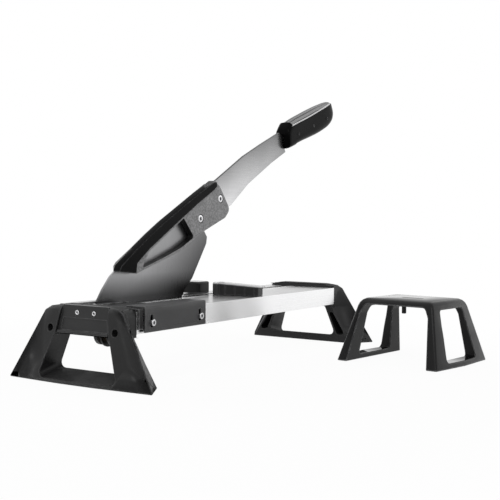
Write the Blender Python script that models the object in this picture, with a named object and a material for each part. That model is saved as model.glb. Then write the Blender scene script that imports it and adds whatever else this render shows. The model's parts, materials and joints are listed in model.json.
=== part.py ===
"""Guillotine-style laminate cutter with a loose support stand.

Metres, +Z up.  The origin is on the floor, in the middle of the near foot's
bottom bar.  +X runs along the rails to the far foot, +Y points to the back.
The lever is shown raised to its rest angle.
"""

import math

import bmesh
import bpy
from mathutils import Vector

# Overall sizes
foot_width = 0.248
foot_depth = 0.040
foot_pitch = 0.577
deck_height = 0.095
foot_crest_rise = 0.006
foot_height = deck_height + foot_crest_rise
rail_height = 0.0287
seat_gap = 0.0003
cut_overrun = 0.004

# Blade plane and the stack of plates on the lever, along Y
blade_near_y = 0.0263
blade_thick = 0.003
bar_thick = 0.004
cheek_thick = 0.011
backing_thick = 0.0045
blade_far_y = blade_near_y + blade_thick
bar_near_y = blade_far_y + seat_gap
bar_far_y = bar_near_y + bar_thick
cheek_far_y = blade_near_y - seat_gap
cheek_near_y = cheek_far_y - cheek_thick
backing_near_y = bar_far_y + seat_gap
backing_far_y = backing_near_y + backing_thick

# Lever pivot
pivot_x = 0.072
pivot_drop = 0.041
pivot_z = deck_height - pivot_drop
lever_rest_angle = math.radians(29.5)
arm_length = 0.330

# Facets
fine_sides = 24
small_sides = 12
corner_steps = 4


def clear_scene():
    """Empty the scene."""
    for item in list(bpy.data.objects):
        bpy.data.objects.remove(item, do_unlink=True)


def new_material(name, colour, roughness, metallic):
    """A plain Principled material."""
    material = bpy.data.materials.new(name)
    material.use_nodes = True
    shader = material.node_tree.nodes["Principled BSDF"]
    shader.inputs["Base Color"].default_value = (*colour, 1.0)
    shader.inputs["Roughness"].default_value = roughness
    shader.inputs["Metallic"].default_value = metallic
    return material


clear_scene()
black_plastic = new_material("black_plastic", (0.018, 0.018, 0.019), 0.38, 0.0)
soft_plastic = new_material("grey_plastic", (0.22, 0.22, 0.23), 0.5, 0.0)
anthracite = new_material("anthracite_paint", (0.07, 0.07, 0.075), 0.45, 0.3)
aluminium = new_material("aluminium", (0.80, 0.80, 0.81), 0.28, 1.0)
blade_steel = new_material("blade_steel", (0.42, 0.42, 0.43), 0.3, 1.0)
bar_steel = new_material("bar_steel", (0.66, 0.66, 0.67), 0.3, 1.0)
cast_metal = new_material("cast_metal", (0.22, 0.22, 0.225), 0.55, 0.6)
zinc_steel = new_material("zinc_steel", (0.72, 0.72, 0.73), 0.25, 1.0)
bronze = new_material("bronze", (0.55, 0.38, 0.2), 0.4, 1.0)


def add_object(name, mesh_builder, material, parent=None):
    """Close a bmesh into a named object with one material."""
    bmesh.ops.recalc_face_normals(mesh_builder, faces=mesh_builder.faces[:])
    mesh = bpy.data.meshes.new(name)
    mesh_builder.to_mesh(mesh)
    mesh_builder.free()
    mesh.materials.append(material)
    mesh.shade_smooth()
    mesh.set_sharp_from_angle(angle=math.radians(32))
    item = bpy.data.objects.new(name, mesh)
    bpy.context.collection.objects.link(item)
    item.parent = parent
    return item


def add_empty(name, place, turn_y=0.0, turn_z=0.0):
    """An empty that carries the pieces of one moving body."""
    empty = bpy.data.objects.new(name, None)
    empty.location = place
    empty.rotation_euler = (0.0, turn_y, turn_z)
    bpy.context.collection.objects.link(empty)
    return empty


def cut(item, cutter, operation="DIFFERENCE"):
    """Boolean one object with another, which becomes a hidden guide."""
    cutter.hide_render = True
    cutter.display_type = "WIRE"
    modifier = item.modifiers.new(cutter.name, "BOOLEAN")
    modifier.operation = operation
    modifier.solver = "EXACT"
    modifier.object = cutter
    return item


def skin(builder, rings, closed=False):
    """Join rings of equal count into one closed surface."""
    loops = [[builder.verts.new(point) for point in ring] for ring in rings]
    count = len(loops[0])
    pairs = list(zip(loops[:-1], loops[1:]))
    if closed:
        pairs.append((loops[-1], loops[0]))
    for lower, upper in pairs:
        for index in range(count):
            after = (index + 1) % count
            builder.faces.new((lower[index], lower[after], upper[after], upper[index]))
    if not closed:
        builder.faces.new(loops[0])
        builder.faces.new(loops[-1])
    return builder


def along_x(outline, x):
    """Outline points (y, z) at one x."""
    return [Vector((x, y, z)) for y, z in outline]


def along_y(outline, y):
    """Outline points (x, z) at one y."""
    return [Vector((x, y, z)) for x, z in outline]


def along_z(outline, z):
    """Outline points (x, y) at one z."""
    return [Vector((x, y, z)) for x, y in outline]


def prism(outline, low, high, place=along_y, builder=None):
    """Extrude an outline between two planes."""
    builder = builder or bmesh.new()
    return skin(builder, [place(outline, low), place(outline, high)])


def rectangle(low_a, high_a, low_b, high_b):
    """Corners of a rectangle."""
    return [(low_a, low_b), (high_a, low_b), (high_a, high_b), (low_a, high_b)]


def rounded(outline, radius, steps=corner_steps):
    """Replace each corner of an outline by an arc, as far as its sides allow."""
    result = []
    count = len(outline)
    radii = radius if isinstance(radius, (list, tuple)) else [radius] * count
    for index in range(count):
        here = Vector(outline[index])
        before = Vector(outline[index - 1]) - here
        after = Vector(outline[(index + 1) % count]) - here
        reach = min(before.length, after.length) / 2
        before.normalize()
        after.normalize()
        half = before.angle(after) / 2
        size = min(radii[index], reach * math.tan(half) * 0.98)
        if size <= 0.0 or half > math.radians(86):
            result.append(tuple(here))
            continue
        middle = here + (before + after).normalized() * (size / math.sin(half))
        start = here + before * (size / math.tan(half)) - middle
        end = here + after * (size / math.tan(half)) - middle
        sweep = start.angle_signed(end)
        for step in range(steps + 1):
            turn = -sweep * step / steps
            result.append((
                middle.x + start.x * math.cos(turn) - start.y * math.sin(turn),
                middle.y + start.x * math.sin(turn) + start.y * math.cos(turn),
            ))
    return result


def scaled(shares, length):
    """Outline shares times one length."""
    return [(a * length, b * length) for a, b in shares]


def turned(builder, profile, centre, axis, sides=small_sides):
    """Revolve (radius, height) points about an axis through a centre."""
    axis = Vector(axis)
    side = axis.orthogonal().normalized()
    other = axis.cross(side)
    rings = []
    for radius, height in profile:
        middle = Vector(centre) + axis * height
        if radius == 0.0:
            rings.append([builder.verts.new(middle)])
            continue
        rings.append([
            builder.verts.new(
                middle
                + side * (radius * math.cos(math.tau * index / sides))
                + other * (radius * math.sin(math.tau * index / sides))
            )
            for index in range(sides)
        ])
    closed = profile[0][0] != 0.0
    pairs = list(zip(rings[:-1], rings[1:]))
    if closed:
        pairs.append((rings[-1], rings[0]))
    for lower, upper in pairs:
        for index in range(sides):
            after = (index + 1) % sides
            if len(lower) == 1:
                builder.faces.new((lower[0], upper[after], upper[index]))
            elif len(upper) == 1:
                builder.faces.new((lower[index], lower[after], upper[0]))
            else:
                builder.faces.new((lower[index], lower[after], upper[after], upper[index]))
    return builder


def rod(radius, length):
    """Profile of a plain rod."""
    return [(0.0, 0.0), (radius, 0.0), (radius, length), (0.0, length)]


def screw_profile(head_radius, head_height, shank_radius, shank_length, socket_radius, socket_depth):
    """Socket screw: the head's underside is at height zero, the shank runs down from it."""
    edge = head_height * 0.2
    return [
        (0.0, -shank_length),
        (shank_radius, -shank_length),
        (shank_radius, 0.0),
        (head_radius, 0.0),
        (head_radius, head_height - edge),
        (head_radius - edge, head_height),
        (socket_radius, head_height),
        (socket_radius, head_height - socket_depth),
        (0.0, head_height - socket_depth),
    ]


# Feet: one tapered moulding with a window, used at both ends

foot_shoulder_half = 0.0685
foot_inner_half = 0.059
foot_heel_inset = 0.024
foot_leg_width = 0.056
foot_lean = 0.0125
foot_bow = 0.006
foot_wall = 0.003
foot_edge_radius = 0.0015
foot_inner_x = foot_depth / 2
foot_outer_x = -foot_depth / 2

# Height, spread of the outer and inner half widths from the shoulder to the floor, lean and bow
foot_level_shares = (
    (0.0, 1.0, 1.0, 0.0, 1.0),
    (0.30, 0.6774, 0.512, 0.32, 0.7),
    (0.61, 0.3439, 0.0366, 0.65, 0.35),
    (0.92, 0.0, 0.0, 0.96, 0.1),
)
# Above the shoulder: height, outer and inner half widths as shares of the shoulder's, lean
foot_crest_shares = (
    (0.975, 0.876, 0.949, 1.2),
    (1.0, 0.644, 0.763, 1.52),
)
foot_edge_share_list = (-1.0, -0.75, -0.5, -0.25, 0.0, 0.25, 0.5, 0.75, 1.0)

window_floor_outer = 0.005
window_floor_inner = 0.013
window_drop = 0.029
window_top = deck_height - window_drop
window_half_floor = foot_width / 2 - foot_leg_width
window_half_top = 0.0455
window_radius = 0.007

block_half_width = 0.066
block_drop = 0.033
block_rise = 0.0035
block_floor = deck_height - block_drop
block_top = deck_height + block_rise
block_shoulder_radius = 0.010
block_outer_x = -0.004

fascia_half_top = 0.039
fascia_half_floor = 0.0455
fascia_drop = 0.0305
fascia_floor = deck_height - fascia_drop
fascia_recess = 0.004
fascia_thick = 0.008

rail_bolt_half_pitch = 0.0557
rail_bolt_drop = 0.025
rail_bolt_z = deck_height - rail_bolt_drop
rail_bolt_bore = 0.0048
rail_bolt_seat_x = 0.004
rail_bolt_head = 0.0042
rail_bolt_head_height = 0.004
rail_bolt_shank = 0.0022
rail_bolt_length = 0.032
rail_bolt_socket = 0.0022
rail_bolt_socket_depth = 0.002

fascia_screw_half_pitch = 0.0145
fascia_screw_drop = 0.0035
fascia_screw_z = deck_height - fascia_screw_drop
fascia_screw_head = 0.0034
fascia_screw_height = 0.003
fascia_screw_shank = 0.0019
fascia_screw_length = 0.012
fascia_screw_socket = 0.0015
fascia_screw_socket_depth = 0.0015
fascia_screw_bore = 0.0042
fascia_screw_bore_depth = 0.0033

label_margin = 0.0045
label_drop = 0.0265
label_height = 0.016
label_floor = deck_height - label_drop
label_top = label_floor + label_height
label_depth = 0.001
lip_height = 0.003
lip_reach = 0.003

pocket_depth_wall = 0.004
pocket_corner_radius = 0.003
pocket_floor = 0.014
pocket_drop = 0.043
pocket_top = deck_height - pocket_drop
pocket_gap = 0.004


def foot_outer_plane(z):
    """The x of the leaning outer face at a height, without its bow."""
    return foot_outer_x + foot_lean * z / foot_height


def fascia_side(z):
    """Half width of the fascia at a height."""
    share = (z - fascia_floor) / (foot_height - fascia_floor)
    return fascia_half_floor + (fascia_half_top - fascia_half_floor) * share


def foot_levels():
    """Height share, outer and inner half width, lean share and bow share of each level."""
    levels = []
    for height, outer, inner, lean, bow in foot_level_shares:
        levels.append((
            height,
            foot_shoulder_half + outer * (foot_width / 2 - foot_shoulder_half),
            foot_inner_half + inner * (foot_width / 2 - foot_heel_inset - foot_inner_half),
            lean,
            bow,
        ))
    for height, outer, inner, lean in foot_crest_shares:
        levels.append((height, outer * foot_shoulder_half, inner * foot_inner_half, lean, 0.0))
    return levels


def foot_rings():
    """Level outlines of the moulding, from the floor up."""
    rings = []
    for height, outer_half, inner_half, lean, bow in foot_levels():
        outline = []
        x_outer = foot_outer_x + foot_lean * lean
        for share in foot_edge_share_list:
            swell = foot_bow * bow * (1 - share * share)
            outline.append((x_outer - swell, share * outer_half))
        outline.append((foot_inner_x, inner_half))
        outline.append((foot_inner_x, -inner_half))
        rings.append(along_z(outline, height * foot_height))
    return rings


def mirrored_y(outline):
    """The same (y, z) outline on the other side."""
    return [(-y, z) for y, z in reversed(outline)]


def build_foot(prefix, parent):
    """One foot with its fascia, fascia screws and rail bolts."""
    foot = add_object(prefix + "_foot", skin(bmesh.new(), foot_rings()), black_plastic, parent)
    soften = foot.modifiers.new("edges", "BEVEL")
    soften.width = foot_edge_radius
    soften.segments = 2
    soften.limit_method = "ANGLE"
    soften.angle_limit = math.radians(38)

    outer_window = rounded([
        (-window_half_floor, window_floor_outer),
        (window_half_floor, window_floor_outer),
        (window_half_top, window_top),
        (-window_half_top, window_top),
    ], window_radius)
    inner_window = rounded([
        (-window_half_floor, window_floor_inner),
        (window_half_floor, window_floor_inner),
        (window_half_top, window_top),
        (-window_half_top, window_top),
    ], window_radius)
    window = skin(bmesh.new(), [
        along_x(outer_window, foot_outer_x - foot_bow - cut_overrun),
        along_x(outer_window, foot_outer_x),
        along_x(inner_window, foot_inner_x),
        along_x(inner_window, foot_inner_x + cut_overrun),
    ])
    cut(foot, add_object(prefix + "_window_cut", window, black_plastic, parent))

    block = prism(
        rounded(rectangle(-block_half_width, block_half_width, block_floor, block_top),
                [foot_wall / 2, foot_wall / 2, block_shoulder_radius, block_shoulder_radius], 3),
        block_outer_x, foot_inner_x - seat_gap, along_x,
    )
    cut(foot, add_object(prefix + "_block_join", block, black_plastic, parent), "UNION")

    recess_low = fascia_floor - cut_overrun
    recess_high = foot_height + cut_overrun
    recess = [
        (-fascia_side(recess_low) - seat_gap, recess_low),
        (fascia_side(recess_low) + seat_gap, recess_low),
        (fascia_side(recess_high) + seat_gap, recess_high),
        (-fascia_side(recess_high) - seat_gap, recess_high),
    ]
    recess_rings = []
    for depth in (-foot_bow - cut_overrun - fascia_recess, fascia_thick):
        ring = []
        for y, z in recess:
            ring.append(Vector((foot_outer_plane(z) + fascia_recess + depth, y, z)))
        recess_rings.append(ring)
    cut(foot, add_object(prefix + "_recess_cut", skin(bmesh.new(), recess_rings), black_plastic, parent))

    levels = foot_levels()
    floor_half = levels[0][2]
    slope = (floor_half - levels[2][2]) / (levels[2][0] * foot_height)
    window_slope = (window_half_floor - window_half_top) / (window_top - window_floor_inner)

    def leg_span(z):
        return (
            window_half_floor - window_slope * (z - window_floor_inner) + pocket_gap,
            floor_half - slope * z - pocket_gap,
        )

    low_in, low_out = leg_span(pocket_floor)
    high_in, high_out = leg_span(pocket_top)
    pocket = [(low_in, pocket_floor), (low_out, pocket_floor)]
    if high_out > high_in:
        pocket += [(high_out, pocket_top), (high_in, pocket_top)]
    else:
        pocket += [((high_in + high_out) / 2, pocket_top)]
    pocket = rounded(pocket, pocket_corner_radius, 2)
    pockets = bmesh.new()
    for outline in (pocket, mirrored_y(pocket)):
        prism(outline, foot_outer_x + foot_lean + pocket_depth_wall, foot_inner_x + cut_overrun,
              along_x, pockets)
    cut(foot, add_object(prefix + "_pocket_cut", pockets, black_plastic, parent))

    bolt_holes = bmesh.new()
    for side in (-1, 1):
        profile = [
            (0.0, rail_bolt_seat_x + rail_bolt_length + cut_overrun),
            (rail_bolt_shank + seat_gap, rail_bolt_seat_x + rail_bolt_length + cut_overrun),
            (rail_bolt_shank + seat_gap, rail_bolt_seat_x),
            (rail_bolt_bore, rail_bolt_seat_x),
            (rail_bolt_bore, foot_outer_x - cut_overrun),
            (0.0, foot_outer_x - cut_overrun),
        ]
        turned(bolt_holes, profile, (0.0, side * rail_bolt_half_pitch, rail_bolt_z), (1, 0, 0))
    cut(foot, add_object(prefix + "_bolt_cut", bolt_holes, black_plastic, parent))

    screw_holes = bmesh.new()
    screw_seat_x = foot_outer_plane(fascia_screw_z) + fascia_recess + fascia_screw_bore_depth
    for side in (-1, 1):
        profile = [
            (0.0, fascia_screw_length + seat_gap),
            (fascia_screw_shank + seat_gap, fascia_screw_length + seat_gap),
            (fascia_screw_shank + seat_gap, 0.0),
            (fascia_screw_bore, 0.0),
            (fascia_screw_bore, -fascia_screw_bore_depth - cut_overrun),
            (0.0, -fascia_screw_bore_depth - cut_overrun),
        ]
        turned(screw_holes, profile,
               (screw_seat_x, side * fascia_screw_half_pitch, fascia_screw_z), (1, 0, 0))
    screw_cut = add_object(prefix + "_screw_cut", screw_holes, black_plastic, parent)
    cut(foot, screw_cut)

    panel_outline = [
        (-fascia_half_floor, fascia_floor),
        (fascia_half_floor, fascia_floor),
        (fascia_half_top, foot_height),
        (-fascia_half_top, foot_height),
    ]
    panel_rings = []
    for depth in (0.0, fascia_thick - seat_gap):
        ring = []
        for y, z in panel_outline:
            ring.append(Vector((foot_outer_plane(z) + fascia_recess + depth, y, z)))
        panel_rings.append(ring)
    fascia = add_object(prefix + "_fascia", skin(bmesh.new(), panel_rings), black_plastic, parent)

    lip = prism(
        rectangle(fascia_floor, fascia_floor + lip_height,
                  foot_outer_plane(fascia_floor) + fascia_recess - lip_reach,
                  foot_outer_plane(fascia_floor) + fascia_recess + lip_reach),
        -fascia_half_floor + label_margin / 2, fascia_half_floor - label_margin / 2,
        lambda outline, y: [Vector((x, y, z)) for z, x in outline],
    )
    cut(fascia, add_object(prefix + "_lip_join", lip, black_plastic, parent), "UNION")

    field = [
        (-fascia_side(label_floor) + label_margin, label_floor),
        (fascia_side(label_floor) - label_margin, label_floor),
        (fascia_side(label_top) - label_margin, label_top),
        (-fascia_side(label_top) + label_margin, label_top),
    ]
    field_rings = []
    for depth in (-cut_overrun, label_depth):
        ring = []
        for y, z in field:
            ring.append(Vector((foot_outer_plane(z) + fascia_recess + depth, y, z)))
        field_rings.append(ring)
    cut(fascia, add_object(prefix + "_field_cut", skin(bmesh.new(), field_rings), black_plastic, parent))
    cut(fascia, screw_cut)

    for number, side in enumerate((-1, 1), 1):
        screw = turned(bmesh.new(), screw_profile(
            fascia_screw_head, fascia_screw_height, fascia_screw_shank,
            fascia_screw_length - seat_gap, fascia_screw_socket, fascia_screw_socket_depth,
        ), (screw_seat_x - seat_gap, side * fascia_screw_half_pitch, fascia_screw_z), (-1, 0, 0))
        add_object(f"{prefix}_fascia_screw_{number}", screw, zinc_steel, parent)
        bolt = turned(bmesh.new(), screw_profile(
            rail_bolt_head, rail_bolt_head_height, rail_bolt_shank, rail_bolt_length,
            rail_bolt_socket, rail_bolt_socket_depth,
        ), (rail_bolt_seat_x - seat_gap, side * rail_bolt_half_pitch, rail_bolt_z), (-1, 0, 0))
        add_object(f"{prefix}_rail_bolt_{number}", bolt, zinc_steel, parent)


near_foot_frame = add_empty("near_foot_frame", (0.0, 0.0, 0.0))
far_foot_frame = add_empty("far_foot_frame", (foot_pitch, 0.0, 0.0), turn_z=math.pi)
build_foot("near", near_foot_frame)
build_foot("far", far_foot_frame)


# Rails: two hollow extrusions with the cutting slot between them

rail_wall = 0.0022
near_rail_front_y = -0.0656
counter_thick = 0.0025
shear_clearance = 0.0003
counter_far_y = blade_near_y - shear_clearance
counter_near_y = counter_far_y - counter_thick
near_rail_back_y = counter_near_y - seat_gap
far_rail_front_y = 0.036
far_rail_back_y = 0.0656
rail_floor = deck_height - rail_height
rail_start_x = foot_inner_x
rail_end_x = foot_pitch - foot_inner_x
groove_width = 0.0014
groove_depth = 0.0009
groove_inset = 0.009
groove_pitch = 0.0055
groove_count = 2
port_size = 0.011
web_y = -0.020


def near_rail_outline():
    """The outer section of the wide rail, with grooves along its slot side."""
    outline = [
        (near_rail_front_y, rail_floor),
        (near_rail_back_y, rail_floor),
        (near_rail_back_y, deck_height),
    ]
    for index in range(groove_count):
        middle = near_rail_back_y - groove_inset - index * groove_pitch
        outline += [
            (middle + groove_width / 2, deck_height),
            (middle + groove_width / 2, deck_height - groove_depth),
            (middle - groove_width / 2, deck_height - groove_depth),
            (middle - groove_width / 2, deck_height),
        ]
    outline.append((near_rail_front_y, deck_height))
    return outline


near_rail = add_object("near_rail", prism(near_rail_outline(), rail_start_x, rail_end_x, along_x),
                       aluminium)
far_rail = add_object("far_rail", prism(
    rectangle(far_rail_front_y, far_rail_back_y, rail_floor, deck_height),
    rail_start_x, rail_end_x, along_x), aluminium)

near_port_y = port_size / 2 - rail_bolt_half_pitch
hollows = bmesh.new()
prism(rectangle(near_port_y, web_y - rail_wall / 2, rail_floor + rail_wall,
                deck_height - rail_wall - groove_depth),
      rail_start_x - cut_overrun, rail_end_x + cut_overrun, along_x, hollows)
prism(rectangle(web_y + rail_wall / 2, near_rail_back_y - rail_wall, rail_floor + rail_wall,
                deck_height - rail_wall - groove_depth),
      rail_start_x - cut_overrun, rail_end_x + cut_overrun, along_x, hollows)
prism(rectangle(near_rail_front_y + rail_wall, near_port_y - rail_wall,
                rail_bolt_z + port_size / 2, deck_height - rail_wall - groove_depth),
      rail_start_x - cut_overrun, rail_end_x + cut_overrun, along_x, hollows)
cut(near_rail, add_object("near_rail_hollow_cut", hollows, aluminium))

far_hollow = prism(
    rectangle(far_rail_front_y + rail_wall, rail_bolt_half_pitch - port_size / 2,
              rail_floor + rail_wall, deck_height - rail_wall),
    rail_start_x - cut_overrun, rail_end_x + cut_overrun, along_x)
prism(rectangle(rail_bolt_half_pitch - port_size / 2 + rail_wall, far_rail_back_y - rail_wall,
                rail_bolt_z + port_size / 2, deck_height - rail_wall),
      rail_start_x - cut_overrun, rail_end_x + cut_overrun, along_x, far_hollow)
cut(far_rail, add_object("far_rail_hollow_cut", far_hollow, aluminium))

port_holes = bmesh.new()
for side in (-1, 1):
    for end_x, direction in ((rail_start_x, 1), (rail_end_x, -1)):
        turned(port_holes, rod(rail_bolt_shank + seat_gap, rail_bolt_length + cut_overrun),
               (end_x - direction * cut_overrun, side * rail_bolt_half_pitch, rail_bolt_z),
               (direction, 0, 0))
port_cut = add_object("rail_port_cut", port_holes, aluminium)
cut(near_rail, port_cut)
cut(far_rail, port_cut)


# Counter blade: the fixed shear strip on the near rail's slot side

counter_start_x = 0.030
counter_end_x = 0.400
counter_height = 0.024
counter_floor = deck_height - counter_height
counter_screw_count = 3
counter_screw_inset = 0.040
counter_screw_drop = 0.015
counter_screw_z = deck_height - counter_screw_drop
counter_screw_head = 0.0038
counter_screw_shank = 0.002
counter_screw_length = 0.007
counter_screw_cone = 0.0018
counter_screw_socket = 0.0014
counter_screw_socket_depth = 0.0012

counter_blade = add_object("counter_blade", prism(
    rectangle(counter_start_x, counter_end_x, counter_floor, deck_height),
    counter_near_y, counter_far_y), blade_steel)
counter_holes = bmesh.new()
for index in range(counter_screw_count):
    span = counter_end_x - counter_start_x - 2 * counter_screw_inset
    place = (counter_start_x + counter_screw_inset + span * index / (counter_screw_count - 1),
             counter_far_y, counter_screw_z)
    turned(counter_holes, [
        (0.0, -counter_screw_length - cut_overrun),
        (counter_screw_shank + seat_gap, -counter_screw_length - cut_overrun),
        (counter_screw_shank + seat_gap, -counter_screw_cone),
        (counter_screw_head + seat_gap, 0.0),
        (counter_screw_head + seat_gap, cut_overrun),
        (0.0, cut_overrun),
    ], place, (0, 1, 0))
    screw = turned(bmesh.new(), [
        (0.0, -counter_screw_length),
        (counter_screw_shank, -counter_screw_length),
        (counter_screw_shank, -counter_screw_cone),
        (counter_screw_head, -seat_gap),
        (counter_screw_socket, -seat_gap),
        (counter_screw_socket, -counter_screw_socket_depth),
        (0.0, -counter_screw_socket_depth),
    ], place, (0, 1, 0))
    add_object(f"counter_blade_screw_{index + 1}", screw, zinc_steel)
counter_cut = add_object("counter_screw_cut", counter_holes, blade_steel)
cut(counter_blade, counter_cut)
cut(near_rail, counter_cut)


# Head cover: black cap over the rails, slotted for the blade

cover_length = 0.075
cover_thick = 0.0035
cover_skirt_thick = 0.003
cover_skirt_drop = 0.023
cover_skirt_floor = deck_height - cover_skirt_drop
cover_front_skirt_length = 0.009
cover_slot_half = 0.006
cover_corner_share = 0.6
cover_rib_corner_share = 0.8
cover_rib_height = 0.0015
cover_rib_width = 0.010
cover_start_x = rail_start_x
cover_end_x = cover_start_x + cover_length
cover_floor = deck_height + seat_gap
cover_top = cover_floor + cover_thick
blade_mid_y = blade_near_y + blade_thick / 2

cover_front_y = near_rail_front_y - seat_gap - cover_skirt_thick
cover_back_y = far_rail_back_y + seat_gap + cover_skirt_thick
cover_builder = bmesh.new()
prism(rounded(rectangle(cover_front_y, cover_back_y, cover_floor, cover_top),
              [0.0, 0.0, cover_thick * cover_corner_share, cover_thick * cover_corner_share], 3),
      cover_start_x, cover_end_x, along_x, cover_builder)
head_cover = add_object("head_cover", cover_builder, black_plastic)
front_skirt = prism(rectangle(cover_front_y, near_rail_front_y - seat_gap, cover_skirt_floor,
                              cover_floor + cover_thick / 2),
                    cover_start_x, cover_start_x + cover_front_skirt_length, along_x)
cut(head_cover, add_object("front_skirt_join", front_skirt, black_plastic), "UNION")
back_skirt = prism(rectangle(far_rail_back_y + seat_gap, cover_back_y, cover_skirt_floor,
                             cover_floor + cover_thick / 2),
                   cover_start_x, cover_end_x, along_x)
cut(head_cover, add_object("back_skirt_join", back_skirt, black_plastic), "UNION")
ribs = bmesh.new()
for side in (-1, 1):
    middle = blade_mid_y + side * (cover_slot_half + cover_rib_width)
    prism(rounded(rectangle(middle - cover_rib_width / 2, middle + cover_rib_width / 2,
                            cover_floor + cover_thick / 2, cover_top + cover_rib_height),
                  [0.0, 0.0, cover_rib_height * cover_rib_corner_share,
                   cover_rib_height * cover_rib_corner_share], 3),
          cover_start_x + cover_rib_width / 2, cover_end_x - cover_rib_width / 2, along_x, ribs)
cut(head_cover, add_object("cover_rib_join", ribs, black_plastic), "UNION")
cover_slot = prism(rectangle(blade_mid_y - cover_slot_half, blade_mid_y + cover_slot_half,
                             cover_floor - cut_overrun, cover_top + cut_overrun),
                   cover_start_x + cover_skirt_thick, cover_end_x + cut_overrun, along_x)
cut(head_cover, add_object("cover_slot_cut", cover_slot, black_plastic))


# Pivot: two lugs under the rails, a pin with a nut, and the blade's hub

lug_radius = 0.0145
lug_thick = 0.006
lug_flange_thick = 0.0043
lug_flange_depth = 0.024
lug_flange_half = 0.030
pin_radius = 0.005
pin_head_radius = 0.0072
pin_head_height = 0.004
nut_radius = 0.0070
nut_height = 0.006
hub_half = 0.0085
hub_wall = 0.0040
lug_screw_inset = 0.007
lug_screw_head = 0.0042
lug_screw_height = 0.003
lug_screw_shank = 0.0021
lug_screw_length = 0.010
lug_screw_socket = 0.0018
lug_screw_socket_depth = 0.0015

near_lug_far_y = blade_mid_y - hub_half
far_lug_near_y = blade_mid_y + hub_half
flange_top = rail_floor - seat_gap
flange_floor = flange_top - lug_flange_thick


def lug_outline():
    """Round lobe about the pivot, with sides rising to the flange."""
    outline = []
    steps = 10
    for step in range(steps + 1):
        turn = math.pi + math.pi * step / steps
        outline.append((pivot_x + lug_radius * math.cos(turn), pivot_z + lug_radius * math.sin(turn)))
    outline.append((pivot_x + lug_radius + lug_thick, flange_floor + lug_flange_thick / 2))
    outline.append((pivot_x - lug_radius - lug_thick, flange_floor + lug_flange_thick / 2))
    return outline


lug_screw_holes = bmesh.new()
for lug_name, side in (("near_lug", -1), ("far_lug", 1)):
    flange_outer_y = blade_mid_y + side * (hub_half + lug_flange_depth)
    for number, end in enumerate((-1, 1), 1):
        place = (pivot_x + end * (lug_flange_half - lug_screw_inset),
                 flange_outer_y - side * lug_screw_inset, flange_floor)
        turned(lug_screw_holes, rod(lug_screw_shank + seat_gap, lug_screw_length + cut_overrun * 2),
               (place[0], place[1], place[2] - cut_overrun), (0, 0, 1))
        screw = turned(bmesh.new(), screw_profile(
            lug_screw_head, lug_screw_height, lug_screw_shank, lug_screw_length,
            lug_screw_socket, lug_screw_socket_depth,
        ), (place[0], place[1], place[2] - seat_gap), (0, 0, -1))
        add_object(f"{lug_name}_screw_{number}", screw, zinc_steel)
lug_screw_cut = add_object("lug_screw_cut", lug_screw_holes, zinc_steel)

pin_cut = add_object("pivot_pin_cut", turned(
    bmesh.new(), rod(pin_radius + seat_gap, 2 * (hub_half + lug_thick + cut_overrun)),
    (pivot_x, blade_mid_y - hub_half - lug_thick - cut_overrun, pivot_z), (0, 1, 0), fine_sides),
    zinc_steel)

for name, low_y, high_y, flange_y in (
    ("near_lug", near_lug_far_y - lug_thick, near_lug_far_y, near_lug_far_y - lug_flange_depth),
    ("far_lug", far_lug_near_y, far_lug_near_y + lug_thick, far_lug_near_y + lug_flange_depth),
):
    lug = add_object(name, prism(lug_outline(), low_y, high_y), anthracite)
    inner_y = near_lug_far_y - seat_gap if name == "near_lug" else far_lug_near_y + seat_gap
    flange = prism(
        rounded(rectangle(pivot_x - lug_flange_half, pivot_x + lug_flange_half,
                          min(inner_y, flange_y), max(inner_y, flange_y)), lug_thick / 2, 3),
        flange_floor, flange_top, along_z)
    cut(lug, add_object(name + "_flange_join", flange, anthracite), "UNION")
    cut(lug, pin_cut)
    cut(lug, lug_screw_cut)
cut(near_rail, lug_screw_cut)
cut(far_rail, lug_screw_cut)

pin_start_y = near_lug_far_y - lug_thick - seat_gap
pin_length = 2 * (hub_half + lug_thick + seat_gap) + nut_height
add_object("pivot_pin", turned(bmesh.new(), screw_profile(
    pin_head_radius, pin_head_height, pin_radius, pin_length, pin_radius * 0.5, pin_head_height / 2,
), (pivot_x, pin_start_y, pivot_z), (0, -1, 0), fine_sides), zinc_steel)
nut_start_y = far_lug_near_y + lug_thick + seat_gap
add_object("pivot_nut", turned(bmesh.new(), [
    (pin_radius + seat_gap, 0.0),
    (nut_radius, 0.0),
    (nut_radius, nut_height),
    (pin_radius + seat_gap, nut_height),
], (pivot_x, nut_start_y, pivot_z), (0, 1, 0), fine_sides), zinc_steel)


# Lever: everything here is drawn in the lever's own frame, along the arm and across it

lever_frame = add_empty("lever_frame", (pivot_x, 0.0, pivot_z), turn_y=-lever_rest_angle)

blade_heel_radius = 0.0165
blade_ground = 0.0025
hub_radius = pin_radius + seat_gap + hub_wall

# Blade outline after its round heel, as shares of the arm's length
blade_edge_shares = (
    (0.121, -0.033), (0.242, -0.100), (0.364, -0.133), (0.4394, -0.1421),
    (0.5103, -0.1342), (0.535, -0.1192), (0.6086, -0.1048), (0.7826, -0.0218),
)
blade_back_shares = (
    (0.8041, 0.0033), (0.799, 0.0348), (0.785, 0.085), (0.952, 0.085), (0.955, 0.17),
    (0.92, 0.212), (0.30, 0.222), (0.1762, 0.2148), (0.1229, 0.2088), (0.055, 0.186),
    (0.0023, 0.1615), (-0.022, 0.105),
)


def heel_points(steps=8):
    """The round heel about the pivot, from its back to its cutting side."""
    points = []
    for step in range(steps + 1):
        turn = math.radians(172) + math.radians(120) * step / steps
        points.append((blade_heel_radius * math.cos(turn), blade_heel_radius * math.sin(turn)))
    return points


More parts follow.
